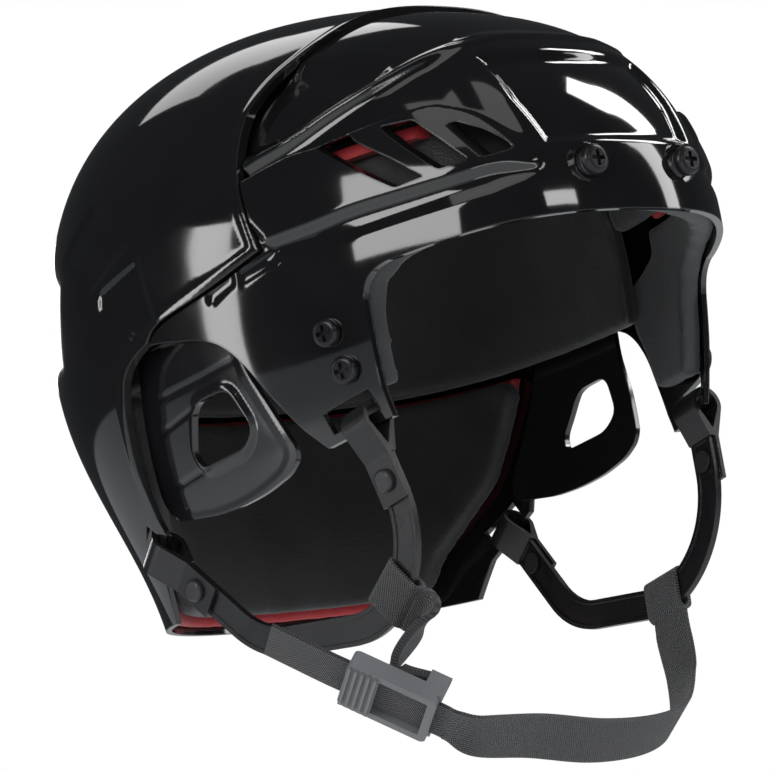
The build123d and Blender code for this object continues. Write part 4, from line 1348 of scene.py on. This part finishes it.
@dataclass
class Straps:
    """Chin strap and anchor strap of woven webbing."""

    finish: bpy.types.Material
    sizes: StrapSizes = field(default_factory=StrapSizes)
    at: Vector = field(default_factory=lambda: Vector((-0.090021, -0.058464, -0.159181)))
    run: Vector = field(default_factory=lambda: Vector((-0.624, 0.546, 0.558)).normalized())
    across: Vector = field(default_factory=lambda: Vector((0.349, 0.834, -0.427)).normalized())
    tail: tuple[tuple[float, float], ...] = ((0.050, -0.0006), (0.026, 0), (0.0185, 0), (-0.0185, 0),
                                             (-0.026, 0))
    chin: tuple[tuple[Triple, Triple], ...] = (
        ((-0.0620, -0.0745, -0.1785), (0.20, 0.75, -0.63)),
        ((-0.0330, -0.0705, -0.1805), (0.05, 0.70, -0.71)),
        ((0.0, -0.0660, -0.1845), (0.0, 0.68, -0.73)),
        ((0.0300, -0.0600, -0.1845), (0.0, 0.72, -0.69)),
        ((0.0533, -0.0520, -0.1808), (0.10, 0.80, -0.60)),
        ((0.0677, -0.0441, -0.1735), (0.15, 0.88, -0.45)),
        ((0.0744, -0.0400, -0.1603), (0.10, 0.95, -0.30)))

    def buckle_point(self, along: float, out: float) -> Vector:
        """Point beside the buckle's middle, along its run and out of its plane."""
        return self.at + self.run * along + self.run.cross(self.across) * out

    def eye(self, name: str, body: Body, place: Triple, turn: Triple,
            lift: Triple) -> list[tuple[Vector, Vector]]:
        """Sewn eye at an ear loop.

        Args:
            name: Object name.
            body: Loop it rides on.
            place: Middle of the loop's bar.
            turn: Width direction of the webbing.
            lift: Direction in which the strap leaves.

        Returns:
            The two stations where the strap leaves the eye, the near one first.
        """
        s, turn, lift = self.sizes, Vector(turn).normalized(), Vector(lift).normalized()
        middle, reach = Vector(place) - lift * s.eye_sink, s.loop_half + s.plate
        ring = Eye(name, body, middle, turn, lift, reach, s.eye_half)
        piece(ring.mesh(s.plate, s.width), body, self.finish)
        return [(middle + lift * (reach + leave), turn) for leave in s.leaves]

    def build_chin_strap(self) -> None:
        """Chin strap from its loose tail through the buckle to the left loop."""
        near, far = self.eye("chin_strap_eye", Body.LEFT_LOOP, (0.0756, -0.0385, -0.1289),
                             (0.02, 0.98, -0.20), (-0.19, -0.19, -0.96))
        stations = [(self.buckle_point(along, out), self.across) for along, out in self.tail]
        stations += [(Vector(place), Vector(wide).normalized()) for place, wide in self.chin]
        stations += [far, near]
        strap = ribbon_mesh("chin_strap_webbing", stations, self.sizes.width, self.sizes.plate)
        hang = Bend(Body.REAR, Body.LEFT_LOOP, Vector((-0.030, -0.070, -0.180)),
                    Vector((0.0744, -0.040, -0.150)))
        piece(strap, hang, self.finish, ["chin_strap"])

    def build_anchor_strap(self) -> None:
        """Doubled anchor strap from the right loop to the buckle's back bar, in two lengths."""
        s = self.sizes
        near, far = self.eye("anchor_strap_eye", Body.RIGHT_LOOP, (-0.0755, -0.0548, -0.1208),
                             (0.0, 0.8, -0.6), (0.2, -0.6, -0.8))
        sink = s.bar_depth + s.bar_half[1] + s.plate
        stations = [(self.buckle_point(s.bar_along, -sink), self.across),
                    (self.buckle_point(s.bar_along + s.bar_lead, -sink), self.across), far, near]
        foot, knee, hem, top = (place for place, _ in stations)
        upper, lower = (knee.lerp(hem, share) for share in s.bend_shares)
        lengths = (("anchor_strap_webbing", (0.5, 1.0), Bend(Body.REAR, Body.RIGHT_LOOP, upper, top),
                    ["anchor_strap"]),
                   ("anchor_strap_foot", (0.0, 0.5), Bend(Body.BUCKLE, Body.REAR, foot, lower), []))
        for name, share, bend, nodes in lengths:
            strap = ribbon_mesh(name, stations, s.width, 2 * s.plate, share)
            piece(strap, bend, self.finish, nodes)
        ring = Eye("anchor_bar_eye", Body.BUCKLE, self.buckle_point(s.bar_along, -s.bar_depth), self.across,
                   self.run, *s.bar_half)
        piece(ring.mesh(s.plate, s.width), ring.body, self.finish)


# Stage
@dataclass(frozen=True)
class CameraFit:
    """Camera found from the photograph, in metres and pixels of a 770 pixel frame."""

    place: Triple = (-0.95447, -1.13306, -0.25751)
    back: Triple = (-0.63474, -0.75351, -0.17125)
    right: Triple = (0.77260, -0.61498, -0.15774)
    up: Triple = (0.01354, -0.23243, 0.97252)
    focal: float = 3733.55
    centre: tuple[float, float] = (413.07, 310.42)
    frame: float = 770.0
    sensor: float = 36.0
    clip: float = 20.0

    def build(self) -> None:
        """Camera at the photograph's angle, aimed at the middle of its frame."""
        right, up, back = Vector(self.right), Vector(self.up), Vector(self.back)
        off_right, off_down = ((self.frame / 2 - c) / self.focal for c in self.centre)
        aim = right * off_right - up * off_down - back
        new_back = -aim.normalized()
        new_right = up.cross(new_back).normalized()
        data = bpy.data.cameras.new("camera")
        data.sensor_width, data.clip_end = self.sensor, self.clip
        data.lens = self.focal / self.frame * self.sensor
        camera = bpy.data.objects.new("camera", data)
        turn = Matrix((new_right, new_back.cross(new_right), new_back)).transposed().to_4x4()
        camera.matrix_world = Matrix.Translation(Vector(self.place)) @ turn
        bpy.context.scene.collection.objects.link(camera)
        bpy.context.scene.camera = camera


@dataclass(frozen=True)
class Lamp:
    """Soft rectangular light aimed at the middle of the head, in metres and watts."""

    name: str
    place: Triple
    size: tuple[float, float]
    power: float

    def build(self) -> None:
        """Add the light."""
        data = bpy.data.lights.new(self.name, "AREA")
        data.shape, data.energy = "RECTANGLE", self.power
        data.size, data.size_y = self.size
        lamp = bpy.data.objects.new(self.name, data)
        lamp.location = self.place
        lamp.rotation_euler = (-Vector(self.place)).to_track_quat("-Z", "Y").to_euler()
        bpy.context.scene.collection.objects.link(lamp)


LAMPS = (
    Lamp("crown", (0.25, 0.95, 1.25), (1.0, 0.32), 1.8),
    Lamp("brow", (0.95, -0.40, 0.95), (0.30, 0.55), 6),
    Lamp("window", (-1.36, -0.42, 0.49), (0.86, 0.60), 9.5),
    Lamp("front", (-0.18, -1.5, 0.42), (0.5, 0.14), 1.6),
    Lamp("key", (-0.75, -0.75, 1.35), (0.9, 0.9), 2.5),
    Lamp("far_side", (1.3, -1.0, 0.5), (0.25, 1.1), 5),
    Lamp("near_side", (-1.4, 0.75, 0.1), (0.16, 1.0), 3),
    Lamp("rim", (0.3, 1.6, 0.35), (0.8, 0.2), 2.5),
    Lamp("low", (-0.7, -1.4, -0.3), (0.9, 0.12), 1.5),
)


@dataclass(frozen=True)
class Stage:
    """Pale floor and the world's light."""

    floor_half: float = 8.0
    floor_level: float = -0.45
    floor_color: Triple = (0.86, 0.86, 0.86)
    floor_roughness: tuple[float, float] = (0.78, 0.86)
    floor_noise: float = 3.0
    sky: Triple = (0.9, 0.95, 1.0)
    lit: float = 0.45
    mirrored: float = 0.035

    def build_floor(self) -> None:
        """Plain pale floor."""
        h, z = self.floor_half, self.floor_level
        mesh = bpy.data.meshes.new("floor")
        mesh.from_pydata([(-h, -h, z), (h, -h, z), (h, h, z), (-h, h, z)], [], [(0, 1, 2, 3)])
        floor = bpy.data.objects.new("floor", mesh)
        bpy.context.scene.collection.objects.link(floor)
        mat, n, shader = start_material("floor_paint")
        noise = n.add("ShaderNodeTexNoise", scale=self.floor_noise)
        shader.inputs["Base Color"].default_value = (*self.floor_color, 1)
        n.link(n.map_range(noise.outputs["Fac"], self.floor_roughness), shader.inputs["Roughness"])
        mesh.materials.append(mat)

    def build_world(self) -> None:
        """White backdrop for the camera, pale light for the object and a dark room for its gloss."""
        world = bpy.data.worlds.new("world")
        bpy.context.scene.world = world
        world.use_nodes = True
        world.node_tree.nodes.clear()
        n = Nodes(world.node_tree)
        path = n.add("ShaderNodeLightPath")
        shown = None
        for color, strength, ray in ((self.sky, self.lit, ""), (self.sky, self.mirrored, "Is Glossy Ray"),
                                     ((1.0, 1.0, 1.0), 1.0, "Is Camera Ray")):
            light = n.add("ShaderNodeBackground", strength=strength)
            light.inputs["Color"].default_value = (*color, 1)
            if ray:
                mix = n.add("ShaderNodeMixShader")
                for socket, source in zip(mix.inputs, (path.outputs[ray], shown, light.outputs[0])):
                    n.link(source, socket)
                light = mix
            shown = light.outputs[0]
        n.link(shown, n.add("ShaderNodeOutputWorld").inputs["Surface"])

    def build(self) -> None:
        """Floor, world, lamps and the plain view."""
        self.build_floor()
        self.build_world()
        for lamp in LAMPS:
            lamp.build()
        bpy.context.scene.view_settings.view_transform = "Standard"


def dress_frame(finishes: dict[Slot, bpy.types.Material]) -> None:
    """Give every CAD node its finish.

    Args:
        finishes: Materials by record slot.
    """
    for part in frame["record"]["subparts"]:
        obj, slot = bpy.data.objects[part["node"]], Slot(part["material_slot"])
        if not obj.material_slots:
            obj.data.materials.append(finishes[slot])
        for place in obj.material_slots:
            place.material = finishes[slot]
        LOG.info("node %s takes %s", obj.name, slot.value)


def main() -> None:
    """Build the whole scene."""
    finishes = make_finishes()
    dress_frame(finishes)
    shells = Shells(finishes)
    shells.build_front()
    shells.build_rear()
    shells.build_guards()
    for pad in PADS:
        build_pad(pad, finishes[pad.slot])
    straps = Straps(finishes[Slot.WEBBING])
    straps.build_chin_strap()
    straps.build_anchor_strap()
    CameraFit().build()
    Stage().build()


if __name__ == "__main__":
    main()
